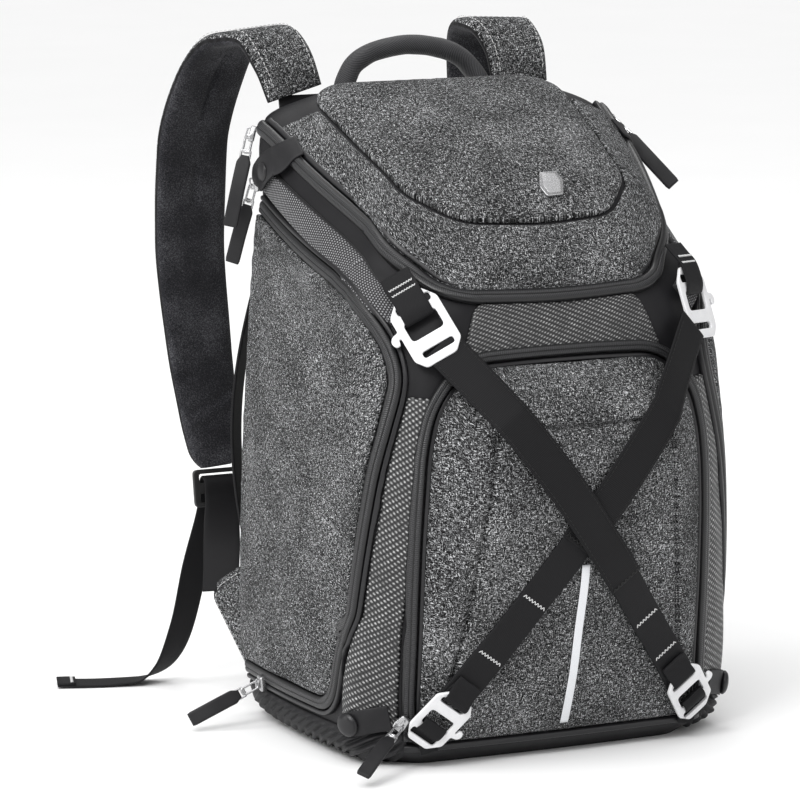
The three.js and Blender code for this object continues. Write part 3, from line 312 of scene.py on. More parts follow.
def slab(name, outer, inner, uv=None):
    """A closed sheet between two grids of points."""
    rows, columns = outer.shape[:2]
    points = np.concatenate([outer.reshape(-1, 3), inner.reshape(-1, 3)])
    shift = rows * columns
    edge = np.concatenate([
        np.arange(columns), np.arange(1, rows) * columns + columns - 1,
        (rows - 1) * columns + np.arange(columns - 2, -1, -1), np.arange(rows - 2, 0, -1) * columns])
    after = np.roll(edge, -1)
    rim = np.stack([edge, edge + shift, after + shift, after], axis=1)
    under = grid_quads(rows, columns, offset=shift, flip=True)
    faces = [np.concatenate([grid_quads(rows, columns), under, rim])]
    both = None if uv is None else np.concatenate([uv.reshape(-1, 2)] * 2)
    return mesh_object(name, points, facing_out(points, faces), both)


def tube(name, rings, uv=None):
    """A closed body through rings of points, with ends filled from their middles."""
    rings = np.asarray(rings, float)
    rows, columns = rings.shape[:2]
    points = rings.reshape(-1, 3)
    ends = np.stack([rings[0].mean(axis=0), rings[-1].mean(axis=0)])
    first, last = len(points), len(points) + 1
    points = np.concatenate([points, ends])
    column = np.arange(columns)
    after = (column + 1) % columns
    start = np.stack([np.full(columns, first), after, column], axis=1)
    shift = (rows - 1) * columns
    end = np.stack([np.full(columns, last), column + shift, after + shift], axis=1)
    faces = [grid_quads(rows, columns, wrap=True), np.concatenate([start, end])]
    flat = None
    if uv is not None:
        uv = np.asarray(uv, float)
        flat = np.concatenate([uv.reshape(-1, 2), uv[0].mean(axis=0)[None], uv[-1].mean(axis=0)[None]])
    return mesh_object(name, points, facing_out(points, faces), flat)


def path_lengths(points):
    steps = np.linalg.norm(np.diff(points, axis=0), axis=-1)
    return np.concatenate([np.zeros((1,) + steps.shape[1:]), np.cumsum(steps, axis=0)])


def along_path(points, count):
    """Points spread evenly along a smooth path through the given points."""
    points = np.asarray(points, float)
    lengths = path_lengths(points)
    keyed = np.concatenate([lengths[:, None], points], axis=1)
    return blend_rows(keyed, np.linspace(0, lengths[-1], count))[:, 1:]


def ribbon(name, points, ups, widths, thickness, edge=0.5, across=9, sag=None, sides=None):
    """A flat strap along points, with round edges. Ups point out of its face."""
    points, ups = np.asarray(points, float), unit(ups)
    along = unit(np.gradient(points, axis=0))
    if sides is None:
        sides = unit(np.cross(along, ups))
    ups = unit(np.cross(sides, along))
    widths = np.broadcast_to(np.asarray(widths, float), len(points))
    half = thickness / 2
    w = np.linspace(-1, 1, across)
    angle = np.linspace(np.pi / 2, -np.pi / 2, 5)[1:-1]
    shape = [(s, 1.0, 0.0) for s in w]
    shape += [(1.0, math.sin(a), edge * math.cos(a)) for a in angle]
    shape += [(s, -1.0, 0.0) for s in w[::-1]]
    shape += [(-1.0, -math.sin(a), -edge * math.cos(a)) for a in angle]
    shape = np.array(shape)
    inset = widths / 2 - edge
    offset = shape[None, :, 0] * inset[:, None] + shape[None, :, 2]
    rise = np.broadcast_to(shape[None, :, 1] * half, offset.shape)
    if sag is not None:
        rise = rise + sag(path_lengths(points)[:, None], offset)
    rings = points[:, None] + sides[:, None] * offset[..., None] + ups[:, None] * rise[..., None]
    uv = np.stack([np.broadcast_to(path_lengths(points)[:, None], offset.shape), offset], axis=-1)
    return tube(name, rings, uv)


def plate(name, outline, holes, thickness, bevel, matrix, resolution=3):
    """A flat plate with round edges, cut from an outline with holes, set in place by a matrix."""
    curve = bpy.data.curves.new(name, "CURVE")
    curve.dimensions = "2D"
    curve.fill_mode = "BOTH"
    curve.extrude = (thickness / 2 - bevel) * MM
    curve.bevel_depth = bevel * MM
    curve.bevel_resolution = resolution
    curve.offset = -bevel * MM
    for ring in [outline, *holes]:
        spline = curve.splines.new("POLY")
        spline.points.add(len(ring) - 1)
        spline.points.foreach_set("co", np.array([[x * MM, y * MM, 0, 1] for x, y in ring]).ravel())
        spline.use_cyclic_u = True
    shape = bpy.data.objects.new(name + "_curve", curve)
    bpy.context.scene.collection.objects.link(shape)
    bpy.context.view_layer.update()
    mesh = bpy.data.meshes.new_from_object(shape.evaluated_get(bpy.context.evaluated_depsgraph_get()))
    bpy.data.objects.remove(shape)
    bpy.data.curves.remove(curve)
    mesh.name = name
    mesh.transform(matrix)
    mesh.shade_smooth()
    mesh.set_sharp_from_angle(angle=math.radians(50))
    thing = bpy.data.objects.new(name, mesh)
    bpy.context.scene.collection.objects.link(thing)
    return thing


def weld(thing, distance=0.01):
    """Joins points that lie together, so that each part of a mesh is closed."""
    work = bmesh.new()
    work.from_mesh(thing.data)
    bmesh.ops.remove_doubles(work, verts=work.verts, dist=distance * MM)
    bmesh.ops.recalc_face_normals(work, faces=work.faces)
    work.to_mesh(thing.data)
    work.free()
    return thing


def basis(origin, across, along, out):
    """Matrix that turns a plate to three given axes and moves it to a place in millimetres."""
    matrix = Matrix.Identity(4)
    for column, axis in enumerate((across, along, out)):
        for row in range(3):
            matrix[row][column] = float(axis[row])
    for row in range(3):
        matrix[row][3] = float(origin[row]) * MM
    return matrix


def rounded_outline(corners, radius, facets=5):
    """A closed outline with each corner rounded."""
    corners = np.asarray(corners, float)
    count = len(corners)
    result = []
    for index in range(count):
        before, corner, after = corners[index - 1], corners[index], corners[(index + 1) % count]
        incoming, outgoing = unit(corner - before), unit(after - corner)
        room = 0.48 * min(np.linalg.norm(corner - before), np.linalg.norm(after - corner))
        reach = min(radius, room)
        for share in np.linspace(0, 1, facets):
            a = corner - incoming * reach * (1 - share)
            b = corner + outgoing * reach * share
            result.append(a * (1 - share) + b * share)
    return [tuple(point) for point in result]


def rounded_box(width, height, radius, centre=(0, 0)):
    x, y = centre
    w, h = width / 2, height / 2
    return rounded_outline([(x - w, y - h), (x + w, y - h), (x + w, y + h), (x - w, y + h)], radius)


def merge(name, things):
    """Joins several objects into one piece and keeps their materials."""
    for thing in bpy.context.selected_objects:
        thing.select_set(False)
    with bpy.context.temp_override(active_object=things[0], selected_editable_objects=things,
                                   selected_objects=things, object=things[0]):
        bpy.ops.object.join()
    things[0].name = name
    things[0].data.name = name
    return things[0]


def mirror_object(thing, name):
    """A copy of a piece on the other side of the bag."""
    mesh = thing.data.copy()
    mesh.transform(Matrix.Scale(-1, 4, Vector((1, 0, 0))))
    mesh.flip_normals()
    mesh.name = name
    other = bpy.data.objects.new(name, mesh)
    bpy.context.scene.collection.objects.link(other)
    return other


# Materials

class Look:
    """Builds one node material around a Principled shader."""

    def __init__(self, name, roughness=0.6, metallic=0.0, sheen=0.0, specular=0.5, coat=0.0):
        self.material = bpy.data.materials.new(name)
        self.material.use_nodes = True
        self.tree = self.material.node_tree
        self.shader = self.tree.nodes["Principled BSDF"]
        constants = {
            "Roughness": roughness, "Metallic": metallic, "Sheen Weight": sheen,
            "Specular IOR Level": specular, "Coat Weight": coat, "Coat Roughness": 0.25,
            "Sheen Roughness": 0.5,
        }
        for socket, value in constants.items():
            self.shader.inputs[socket].default_value = value

    def put(self, socket, value):
        if isinstance(value, bpy.types.NodeSocket):
            self.tree.links.new(value, socket)
        else:
            socket.default_value = value

    def node(self, kind, settings=None, output=0, **inputs):
        made = self.tree.nodes.new(kind)
        for key, value in (settings or {}).items():
            setattr(made, key, value)
        for key, value in inputs.items():
            numbered = key[0] == "i" and key[1:].isdigit()
            self.put(made.inputs[int(key[1:]) if numbered else key], value)
        return made.outputs[output]

    def math(self, operation, a, b=0.0, clamp=False):
        return self.node("ShaderNodeMath", {"operation": operation, "use_clamp": clamp}, i0=a, i1=b)

    def plus(self, a, b):
        return self.math("ADD", a, b)

    def minus(self, a, b):
        return self.math("SUBTRACT", a, b)

    def times(self, a, b):
        return self.math("MULTIPLY", a, b)

    def ratio(self, a, b):
        return self.math("DIVIDE", a, b)

    def cloth_place(self):
        """The cloth's own length and width coordinates, in millimetres."""
        uv = self.node("ShaderNodeUVMap", {"uv_map": "cloth"})
        parts = self.tree.nodes.new("ShaderNodeSeparateXYZ")
        self.put(parts.inputs[0], uv)
        return tuple(self.times(parts.outputs[axis], 1 / MM) for axis in (0, 1))

    def place(self, x, y, z=0.0):
        return self.node("ShaderNodeCombineXYZ", i0=x, i1=y, i2=z)

    def body_place(self):
        """The place in the model, in millimetres."""
        spot = self.node("ShaderNodeTexCoord", output=3)
        return self.node("ShaderNodeVectorMath", {"operation": "SCALE"}, i0=spot, Scale=1 / MM)

    def noise(self, vector, scale, detail=2.0, roughness=0.5):
        return self.node("ShaderNodeTexNoise", Vector=vector, Scale=scale, Detail=detail,
                         Roughness=roughness)

    def ramp(self, value, stops):
        made = self.tree.nodes.new("ShaderNodeValToRGB")
        elements = made.color_ramp.elements
        while len(elements) < len(stops):
            elements.new(0.5)
        for element, (position, tone) in zip(elements, stops):
            element.position = position
            grey = not isinstance(tone, (tuple, list))
            element.color = (*((tone,) * 3 if grey else tone), 1.0)
        self.put(made.inputs[0], value)
        return made.outputs[0]

    def remap(self, value, low, high, new_low=0.0, new_high=1.0):
        return self.node("ShaderNodeMapRange", i0=value, i1=low, i2=high, i3=new_low, i4=new_high)

    def wave(self, value, pitch):
        """0 to 1 and back over each pitch in millimetres."""
        angle = self.times(value, 2 * math.pi / pitch)
        return self.remap(self.math("SINE", angle), -1.0, 1.0)

    def tint(self, tone, colour):
        """A grey tone turned slightly towards a colour."""
        return self.node("ShaderNodeMix", {"data_type": "RGBA", "blend_type": "MULTIPLY"}, output=2,
                         i0=1.0, i6=tone, i7=tuple(colour) + (1.0,))

    def finish(self, colour, height=None, bump=0.3, depth=0.0003, roughness=None):
        self.put(self.shader.inputs["Base Color"], colour)
        if height is not None:
            relief = self.node("ShaderNodeBump", Strength=bump, Distance=depth, Height=height)
            self.put(self.shader.inputs["Normal"], relief)
        if roughness is not None:
            self.put(self.shader.inputs["Roughness"], roughness)
        return self.material


def melange_look():
    """Woven cloth of dark yarn with short pale slubs both ways."""
    look = Look("melange", roughness=0.95, sheen=0.0, specular=0.12)
    u, v = look.cloth_place()
    bend = look.remap(look.noise(look.place(u, v), 0.09, 1.0), 0.3, 0.7, -0.6, 0.6)
    up = look.noise(look.place(look.times(look.plus(u, bend), 1.5),
                               look.times(v, 0.3), 3.0), 1.0, 2.0, 0.7)
    over = look.noise(look.place(look.times(u, 0.3),
                                 look.times(look.plus(v, bend), 1.5), 9.0), 1.0, 2.0, 0.7)
    grain = look.noise(look.place(u, v, 5.0), 1.5, 2.0, 0.7)
    mixed = look.plus(look.times(look.math("MAXIMUM", up, over), 0.6),
                      look.times(grain, 0.4))
    cloud = look.remap(look.noise(look.place(u, v, 2.0), 0.022, 2.0), 0.3, 0.7, -0.014, 0.014)
    tone = look.ramp(look.plus(mixed, cloud), [
        (0.44, 0.003), (0.495, 0.012), (0.54, 0.05), (0.59, 0.26), (0.65, 0.85)])
    weave = look.plus(look.wave(look.plus(u, v), 1.3), look.wave(look.minus(u, v), 1.3))
    height = look.plus(look.times(weave, 0.5), look.times(mixed, 3.0))
    return look.finish(look.tint(tone, (0.97, 0.98, 1.0)), height, 0.5, 0.0004)


def smooth_black_look():
    look = Look("smooth_black", roughness=0.46, sheen=0.0, specular=0.22)
    spot = look.body_place()
    fine = look.noise(spot, 1.6, 3.0, 0.6)
    broad = look.noise(spot, 0.035, 2.0)
    tone = look.ramp(look.plus(look.times(fine, 0.4), look.times(broad, 0.6)), [
        (0.3, (0.007, 0.0068, 0.008)), (0.7, (0.012, 0.0116, 0.013))])
    return look.finish(tone, fine, 0.18, 0.0002, look.remap(fine, 0.3, 0.7, 0.44, 0.6))


def coated_zip_look():
    """Coated zip tape: two rows of fine ridges beside the closed line, with a painted highlight on the
    ridges and painted shade in the closed line.
    """
    look = Look("coated_zip", roughness=0.3, specular=0.42)
    u, v = look.cloth_place()
    side = look.math("ABSOLUTE", v)
    curl = look.math("MULTIPLY_ADD", side, 0.35)
    ridges = look.wave(look.plus(u, curl), 1.5)
    near = look.times(look.remap(side, 0.25, 0.6), look.remap(side, 3.6, 2.2))
    line = look.remap(side, 0.12, 0.4)
    fine = look.noise(look.body_place(), 2.2, 2.0)
    relief = look.plus(look.times(ridges, near),
                       look.plus(line, look.times(fine, 0.3)))
    # Painted highlight: the ridges' colour is made lighter where light would catch them.
    painted_ridge_highlight = look.times(look.times(ridges, near), 0.55)
    tone = look.ramp(look.plus(painted_ridge_highlight, look.times(fine, 0.25)), [
        (0.0, (0.002, 0.002, 0.0022)), (0.8, (0.042, 0.042, 0.045))])
    # Painted shade: the colour is darkened along the groove of the closed line.
    dark = look.node("ShaderNodeMix", {"data_type": "RGBA", "blend_type": "MULTIPLY"}, output=2,
                     i0=1.0, i6=tone, i7=look.ramp(line, [(0.0, 0.25), (1.0, 1.0)]))
    return look.finish(dark, relief, 0.55, 0.0004, look.remap(fine, 0.3, 0.7, 0.26, 0.4))


def piping_look():
    look = Look("piping_cloth", roughness=0.32, specular=0.4)
    fine = look.noise(look.body_place(), 1.8, 3.0)
    tone = look.ramp(fine, [(0.3, (0.007, 0.0068, 0.008)), (0.7, (0.013, 0.0127, 0.014))])
    return look.finish(tone, fine, 0.2, 0.0002, look.remap(fine, 0.3, 0.7, 0.28, 0.42))


def webbing_look(name="webbing", dark=0.002, light=0.015, pitch=1.25):
    """Ribbed nylon webbing, with ribs across the strap."""
    look = Look(name, roughness=0.5, sheen=0.0, specular=0.16)
    u, v = look.cloth_place()
    wobble = look.remap(look.noise(look.place(u, v), 0.12, 2.0), 0.3, 0.7, -0.5, 0.5)
    ribs = look.wave(look.plus(u, look.times(wobble, 0.4)), pitch)
    threads = look.wave(look.plus(v, look.times(u, 0.5)), 1.1)
    fine = look.noise(look.place(u, v), 0.9, 2.0, 0.7)
    mixed = look.plus(look.times(ribs, 0.5),
                      look.plus(look.times(threads, 0.2), look.times(fine, 0.45)))
    cool = light * 1.08
    tone = look.ramp(mixed, [(0.25, (dark, dark * 0.98, dark * 1.06)), (0.95, (light, light * 0.98, cool))])
    return look.finish(tone, mixed, 0.5, 0.0003, look.remap(fine, 0.3, 0.7, 0.55, 0.72))


def dotted_webbing_look():
    """Jacquard webbing: rows of small pale dots on black, every other row shifted."""
    look = Look("grey_webbing", roughness=0.7, sheen=0.1, specular=0.35)
    u, v = look.cloth_place()
    pitch_u, pitch_v = 2.3, 1.9
    row = look.math("FLOOR", look.ratio(u, pitch_u))
    shifted = look.plus(look.ratio(v, pitch_v), look.times(row, 0.5))
    across = look.minus(look.math("FRACT", shifted), 0.5)
    along = look.minus(look.math("FRACT", look.ratio(u, pitch_u)), 0.5)
    radius = look.math("SQRT", look.plus(look.math("POWER", across, 2.0), look.math("POWER", along, 2.0)))
    dot = look.remap(radius, 0.45, 0.18)
    fine = look.noise(look.place(u, v), 0.8, 2.0)
    edge = look.remap(look.math("ABSOLUTE", v), 11.2, 10.2)
    level = look.times(look.times(dot, look.remap(fine, 0.2, 0.7, 0.6, 1.0)), edge)
    tone = look.ramp(level, [
        (0.0, (0.008, 0.008, 0.009)), (0.5, (0.09, 0.09, 0.095)), (1.0, (0.36, 0.36, 0.37))])
    return look.finish(tone, level, 0.7, 0.0005)


def carbon_look(name="carbon_cloth", lean=-0.55, cell=(3.6, 5.2), share=1.0):
    """Braided rows of small slanted cells, each with a painted highlight along its crown."""
    look = Look(name, roughness=0.42, specular=0.5)
    u, v = look.cloth_place()
    row_place = look.ratio(look.plus(v, look.times(u, lean)), cell[1])
    row = look.math("FLOOR", row_place)
    across = look.minus(look.math("FRACT", row_place), 0.5)
    slant = look.times(across, 1.5)
    along_place = look.plus(look.plus(look.ratio(u, cell[0] * 0.6), slant),
                            look.times(row, 0.5))
    along = look.minus(look.math("FRACT", along_place), 0.5)
    size = look.math("SQRT", look.plus(look.math("POWER", look.times(across, 0.95), 2.0),
                                       look.math("POWER", along, 2.0)))
    crown = look.remap(size, 0.5, 0.12)
    fine = look.noise(look.place(u, v), 0.7, 2.0)
    broad = look.noise(look.place(u, v, 4.0), 0.12, 2.0)
    # Painted highlight: each cell's colour brightens towards its crown, and the noise adds random tone.
    level = look.times(crown, look.times(look.remap(fine, 0.25, 0.7, 0.55, 1.0),
                                                  look.remap(broad, 0.3, 0.7, 0.75, 1.0)))
    tone = look.ramp(level, [
        (0.0, (0.004, 0.004, 0.005)), (0.4, (0.06 * share,) * 3), (1.0, (0.62 * share,) * 3)])
    return look.finish(tone, crown, 0.8, 0.0007)


def rubber_look():
    look = Look("black_rubber", roughness=0.46, specular=0.26)
    spot = look.body_place()
    fine = look.noise(spot, 2.4, 3.0, 0.65)
    broad = look.noise(spot, 0.06, 2.0)
    tone = look.ramp(broad, [(0.3, (0.010, 0.0098, 0.011)), (0.7, (0.016, 0.0157, 0.017))])
    return look.finish(tone, fine, 0.25, 0.0002, look.remap(fine, 0.3, 0.7, 0.42, 0.6))


def felt_look():
    """Brushed dark lining of the shoulder straps."""
    look = Look("dark_felt", roughness=0.98, sheen=0.1, specular=0.1)
    spot = look.body_place()
    fine = look.noise(spot, 1.1, 4.0, 0.75)
    broad = look.noise(spot, 0.03, 2.0)
    tone = look.ramp(look.plus(look.times(fine, 0.75), look.times(broad, 0.25)), [
        (0.36, (0.007, 0.007, 0.009)), (0.5, (0.02, 0.02, 0.023)), (0.66, (0.11, 0.11, 0.12))])
    return look.finish(tone, fine, 0.6, 0.0006)


def handle_look():
    """Black twill wrapped round the carry handle."""
    look = Look("handle_twill", roughness=0.66, sheen=0.12, specular=0.4)
    u, v = look.cloth_place()
    lines = look.wave(look.plus(u, look.times(v, 0.9)), 1.9)
    fine = look.noise(look.place(u, v), 0.9, 2.0)
    mixed = look.plus(look.times(lines, 0.7), look.times(fine, 0.4))
    tone = look.ramp(mixed, [(0.2, (0.004, 0.004, 0.005)), (0.95, (0.05, 0.05, 0.054))])
    return look.finish(tone, mixed, 0.7, 0.0005)


def metal_look(name="bright_metal", tone=0.74, roughness=0.3, metallic=0.0):
    look = Look(name, roughness=roughness, metallic=metallic, specular=0.6)
    spot = look.body_place()
    fine = look.noise(spot, 0.9, 4.0, 0.7)
    broad = look.noise(spot, 0.12, 2.0)
    colour = look.ramp(broad, [
        (0.3, (tone * 0.93, tone * 0.93, tone * 0.95)), (0.7, (tone, tone, tone * 1.01))])
    uneven = look.remap(fine, 0.3, 0.7, roughness - 0.06, roughness + 0.08)
    return look.finish(colour, fine, 0.05, 0.0002, uneven)


def reflective_look():
    look = Look("silver_strip", roughness=0.38, metallic=0.15, specular=0.6)
    u, v = look.cloth_place()
    fine = look.noise(look.place(u, v), 1.4, 3.0, 0.6)
    colour = look.ramp(fine, [(0.3, (0.62, 0.63, 0.66)), (0.7, (0.78, 0.79, 0.81))])
    return look.finish(colour, fine, 0.15, 0.0002)


def thread_look(name="pale_thread", tone=0.62):
    look = Look(name, roughness=0.7, specular=0.3)
    fine = look.noise(look.body_place(), 2.0, 2.0)
    colour = look.ramp(fine, [(0.3, (tone * 0.8,) * 3), (0.7, (tone,) * 3)])
    return look.finish(colour, fine, 0.2, 0.0002)


def mesh_cloth_look():
    """Air mesh on the wearer's side."""
    look = Look("back_mesh", roughness=0.8, sheen=0.1, specular=0.3)
    u, v = look.cloth_place()
    holes = look.times(look.wave(look.plus(u, v), 2.6), look.wave(look.minus(u, v), 2.6))
    fine = look.noise(look.place(u, v), 0.9, 2.0)
    level = look.plus(look.times(holes, 0.7), look.times(fine, 0.3))
    tone = look.ramp(level, [(0.1, (0.008, 0.008, 0.009)), (0.9, (0.045, 0.045, 0.049))])
    return look.finish(tone, level, 0.7, 0.0006)


LOOKS = {
    "melange": melange_look(),
    "smooth_black": smooth_black_look(),
    "coated_zip": coated_zip_look(),
    "piping": piping_look(),
    "webbing": webbing_look(),
    "flat_webbing": webbing_look("flat_webbing", 0.004, 0.016, 0.8),
    "dotted": dotted_webbing_look(),
    "carbon": carbon_look(),
    "carbon_band": carbon_look("carbon_band", -0.45, (3.4, 3.8), 0.8),
    "rubber": rubber_look(),
    "felt": felt_look(),
    "handle": handle_look(),
    "metal": metal_look(),
    "dark_metal": metal_look("dark_metal", 0.5, 0.26, 0.95),
    "reflective": reflective_look(),
    "badge_metal": metal_look("badge_metal", 0.5, 0.24, 0.5),
    "gun_metal": metal_look("gun_metal", 0.03, 0.34, 0.3),
    "thread": thread_look(),
    "dark_thread": thread_look("dark_thread", 0.02),
    "mesh": mesh_cloth_look(),
}


def dress(thing, *looks):
    thing.data.materials.clear()
    for look in looks:
        thing.data.materials.append(LOOKS[look])
    return thing


def settle(thing, slot, *nodes, padded=None):
    """Puts a finished piece on the bag in the place of its CAD nodes."""
    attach(thing, BODY)
    if nodes:
        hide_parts(*nodes)
    return thing


def settle_pair(piece, slot, *nodes, padded=None):
    """Settles a piece of the right side, and its mirrored copy on the left."""
    other = mirror_object(piece, piece.name.replace("right", "left"))
    settle(piece, slot, *(f"{node}_right" for node in nodes), padded=padded)
    settle(other, slot, *(f"{node}_left" for node in nodes), padded=padded)


# Body shell and lid

COLUMNS_PER_STRETCH = 14


def turns_around(per_stretch=COLUMNS_PER_STRETCH):
    half = np.linspace(0, HALF_TURN, HALF_TURN * per_stretch + 1)
    return np.concatenate([half, -half[1:-1][::-1]])


def skin_rings(rows, lift):
    turn, z = np.meshgrid(turns_around(), np.asarray(rows, float))
    return lifted(turn, with_rise(turn, z), np.full(turn.shape, float(lift)))


# How far the lid's zip and the seam above it leave one level, by the turn
ZIP_RISE = [[0, 8], [1.8, 12], [2.3, 14], [2.75, 13.5], [3.1, 11],
            [3.5, 6], [4.2, -1], [5, -8], [6, -12], [7, -12]]
SEAM_RISE = [[0, 0], [1.9, 2], [2.4, 4], [3, 5.5], [3.8, 4.5], [4.7, 3], [5.9, 1.5], [7, 1]]


def rise_at(rows, turn):
    amount = np.abs(turn)
    amount = np.where(amount > HALF_TURN, 2 * HALF_TURN - amount, amount)
    return blend_rows(rows, np.ravel(amount))[:, 1].reshape(np.shape(turn))


def with_rise(turn, z):
    """Heights bent to follow the lid's zip near its level."""
    near = np.where(z < LID_LINE, smooth_step(LID_LINE - 70, LID_LINE - 4, z),
                    smooth_step(LID_LINE + 30, LID_LINE + 4, z))
    return z + rise_at(ZIP_RISE, turn) * near


def make_shell():
    outer = skin_rings(np.linspace(4, LID_LINE - SEAM_GAP, 90), SHELL_LIFT)
    inner = skin_rings(np.linspace(LID_LINE - SEAM_GAP, 7, 30), SHELL_LIFT - SHELL_WALL)
    shell = dress(tube("bag_shell", np.concatenate([outer, inner])), "smooth_black")
    settle(shell, "smooth_black", "body_shell")
    edge = LID_LINE + SEAM_GAP
    down = np.concatenate([np.linspace(449, 430, 12), np.linspace(428, edge, 8)])
    upward = np.concatenate([np.linspace(edge, 430, 14), np.linspace(431.5, 449.6, 24)])
    inside = skin_rings(down, SHELL_LIFT - SHELL_WALL)
    outside = skin_rings(upward, SHELL_LIFT)
    lid = dress(tube("lid_shell", np.concatenate([inside, outside])), "smooth_black")
    settle(lid, "smooth_black", "lid")


# Padded panels laid on the skin

def corner_inset(radius, distance):
    inside = np.clip(radius - distance, 0, radius)
    return radius - np.sqrt(np.maximum(0, radius**2 - inside**2))


def region_edges(region, z, grow=0.0):
    """The turns where a region with rounded corners starts and ends at given heights."""
    bottom, top = region["bottom"] - grow, region["top"] + grow
    low_bottom, low_top, high_bottom, high_top = (radius + grow for radius in region["corners"])
    low_inset = corner_inset(low_bottom, z - bottom) + corner_inset(low_top, top - z) - grow
    high_inset = corner_inset(high_bottom, z - bottom) + corner_inset(high_top, top - z) - grow
    return walk_turn(region["low"](z), z, low_inset), walk_turn(region["high"](z), z, -high_inset)


def eased(count, ease=0.65):
    t = np.linspace(0, 1, count)
    return (1 - ease) * t + ease * (0.5 - 0.5 * np.cos(np.pi * t))


def pad(name, region, rows, columns, shape, base=PAD_BASE):
    """A pad over a region of the skin. Shape gives its lift from the distances to its four edges."""
    z = region["bottom"] + (region["top"] - region["bottom"]) * eased(rows)
    low, high = region_edges(region, z)
    turn = low[:, None] + (high - low)[:, None] * eased(columns)[None, :]
    heights = np.broadcast_to(z[:, None], turn.shape)
    if "bend" in region:
        heights = region["bend"](turn, heights)
    ground = skin(turn, heights)
    u = path_lengths(ground.transpose(1, 0, 2)).T
    v = path_lengths(ground)
    distances = (u, u[:, -1:] - u, v, v[-1:] - v)
    lift = shape(u - u[:, -1:] / 2, v - v[-1:] / 2, distances)
    normal = skin_normal(turn, heights)
    outer = ground + normal * lift[..., None]
    inner = ground + normal * np.minimum(base, lift - 0.4)[..., None]
    return slab(name, outer, inner, np.stack([u - u[:, -1:] / 2, v], axis=-1))


def edge_distance(distances, power=4.0):
    """Distance to the nearest edge, blended smoothly where two edges meet."""
    total = sum(1 / np.maximum(side, 0.05)**power for side in distances)
    return total**(-1 / power)


def rolled(distance, radius):
    """0 at an edge, rising to 1 over a rounded roll."""
    t = np.clip(distance / radius, 0, 1)
    return np.sqrt(np.maximum(0, 1 - (1 - t)**2))


SIDE_PANEL = {
    "bottom": 45, "top": 357, "corners": (8, 10, 16, 58), "low": lambda z: np.full(np.shape(z), 1.62),
    "high": lambda z: blend_rows(SIDE_FRONT_EDGE, z)[:, 1].reshape(np.shape(z)),
}


def side_panel_shape(u, v, distances):
    away = edge_distance(distances)
    crown = 1 - np.exp(-(away / 42)**2)
    lift = -1.6 + 2.9 * rolled(away, 5) + 3.2 * crown
    pucker = waves(u, v, 17, 11) * np.exp(-away / 10) * rolled(away, 6) * 0.35
    broad = waves(u, v, 120, 5) * 1.1 * smooth_step(6, 40, away)
    pull = waves(u * 0.5, v, 46, 8) * 0.35 * smooth_step(4, 20, away) * np.exp(-away / 60)
    return lift + pucker + broad + pull


def make_side_panels():
    panel = dress(pad("side_panel_cloth_right", SIDE_PANEL, 126, 92, side_panel_shape), "melange")
    settle_pair(panel, "grey_melange", "side_panel", padded=0.35)


# Zips: a broad roll of coated tape with its closed line, and a narrow piping beside it

def band_on_skin(name, turn, z, profile, base=PAD_BASE, v_middle=0.0):
    """A band swept along a path over the skin. The profile lists widths across it and lifts."""
    path = skin(turn, z)
    tangent = unit(np.gradient(path, axis=0))
    across = unit(np.cross(skin_normal(turn, z), tangent))
    profile = np.asarray(profile, float)
    rings, uvs = [], []
    lengths = path_lengths(path)
    for width, lift in profile:
        place = slide(turn, z, across * np.sign(width or 1), abs(width)) if width else (turn, z)
        rings.append(lifted(*place, np.full(len(path), lift)))
        uvs.append(np.stack([lengths, np.full(len(path), width - v_middle)], axis=-1))
    for width in (profile[-1, 0], profile[0, 0]):
        place = slide(turn, z, across * np.sign(width or 1), abs(width))
        rings.append(lifted(*place, np.full(len(path), base)))
        uvs.append(np.stack([lengths, np.full(len(path), width - v_middle)], axis=-1))
    return tube(name, np.stack(rings, axis=1), np.stack(uvs, axis=1))


def roll_profile(start, end, edge, height, groove=0.35, steps=10):
    """A rounded roll between two widths, with a fine groove along its middle."""
    middle = (start + end) / 2
    half = (end - start) / 2
    rows = []
    for t in np.linspace(-1, 1, 2 * steps + 1):
        dip = groove * math.exp(-(t * half / 0.45)**2)
        rows.append((middle + t * half, edge + (height - edge) * math.sqrt(max(0, 1 - t**4)) - dip))
    return rows


ZIP_WIDTH = 15.0
SIDE_ZIP_ROLL = roll_profile(-7.4, 3.2, -1.8, 1.5)
SIDE_ZIP_PIPING = roll_profile(3.4, 7.4, -1.8, 0.9, groove=0, steps=6)


def region_outline(region, grow, back_turn, spacing=2.0):
    """The line round a region's bottom, front edge and top, a set distance outside it."""
    bottom, top = region["bottom"] - grow, region["top"] + grow
    angle = np.linspace(0, np.pi / 2, 24)
    low_radius, high_radius = region["corners"][2] + grow, region["corners"][3] + grow
    low_corner = bottom + low_radius * (1 - np.cos(angle))
    high_corner = (top - high_radius * (1 - np.cos(angle)))[::-1]
    z = np.concatenate([low_corner, np.linspace(low_corner[-1], high_corner[0], 60)[1:-1], high_corner])
    turn = region_edges(region, z, grow)[1]
    low_run = np.linspace(back_turn, turn[0], 40)[:-1]
    high_run = np.linspace(turn[-1], back_turn, 40)[1:]
    turn = np.concatenate([low_run, turn, high_run])
    z = np.concatenate([np.full(39, bottom), z, np.full(39, top)])
    lengths = path_lengths(skin(turn, z))
    keep = np.concatenate([[True], np.diff(lengths) > 0.05])
    even = np.arange(0, lengths[-1], spacing)
    turn, z = np.interp(even, lengths[keep], turn[keep]), np.interp(even, lengths[keep], z[keep])
    return smoothed(turn, 9), smoothed(z, 9)


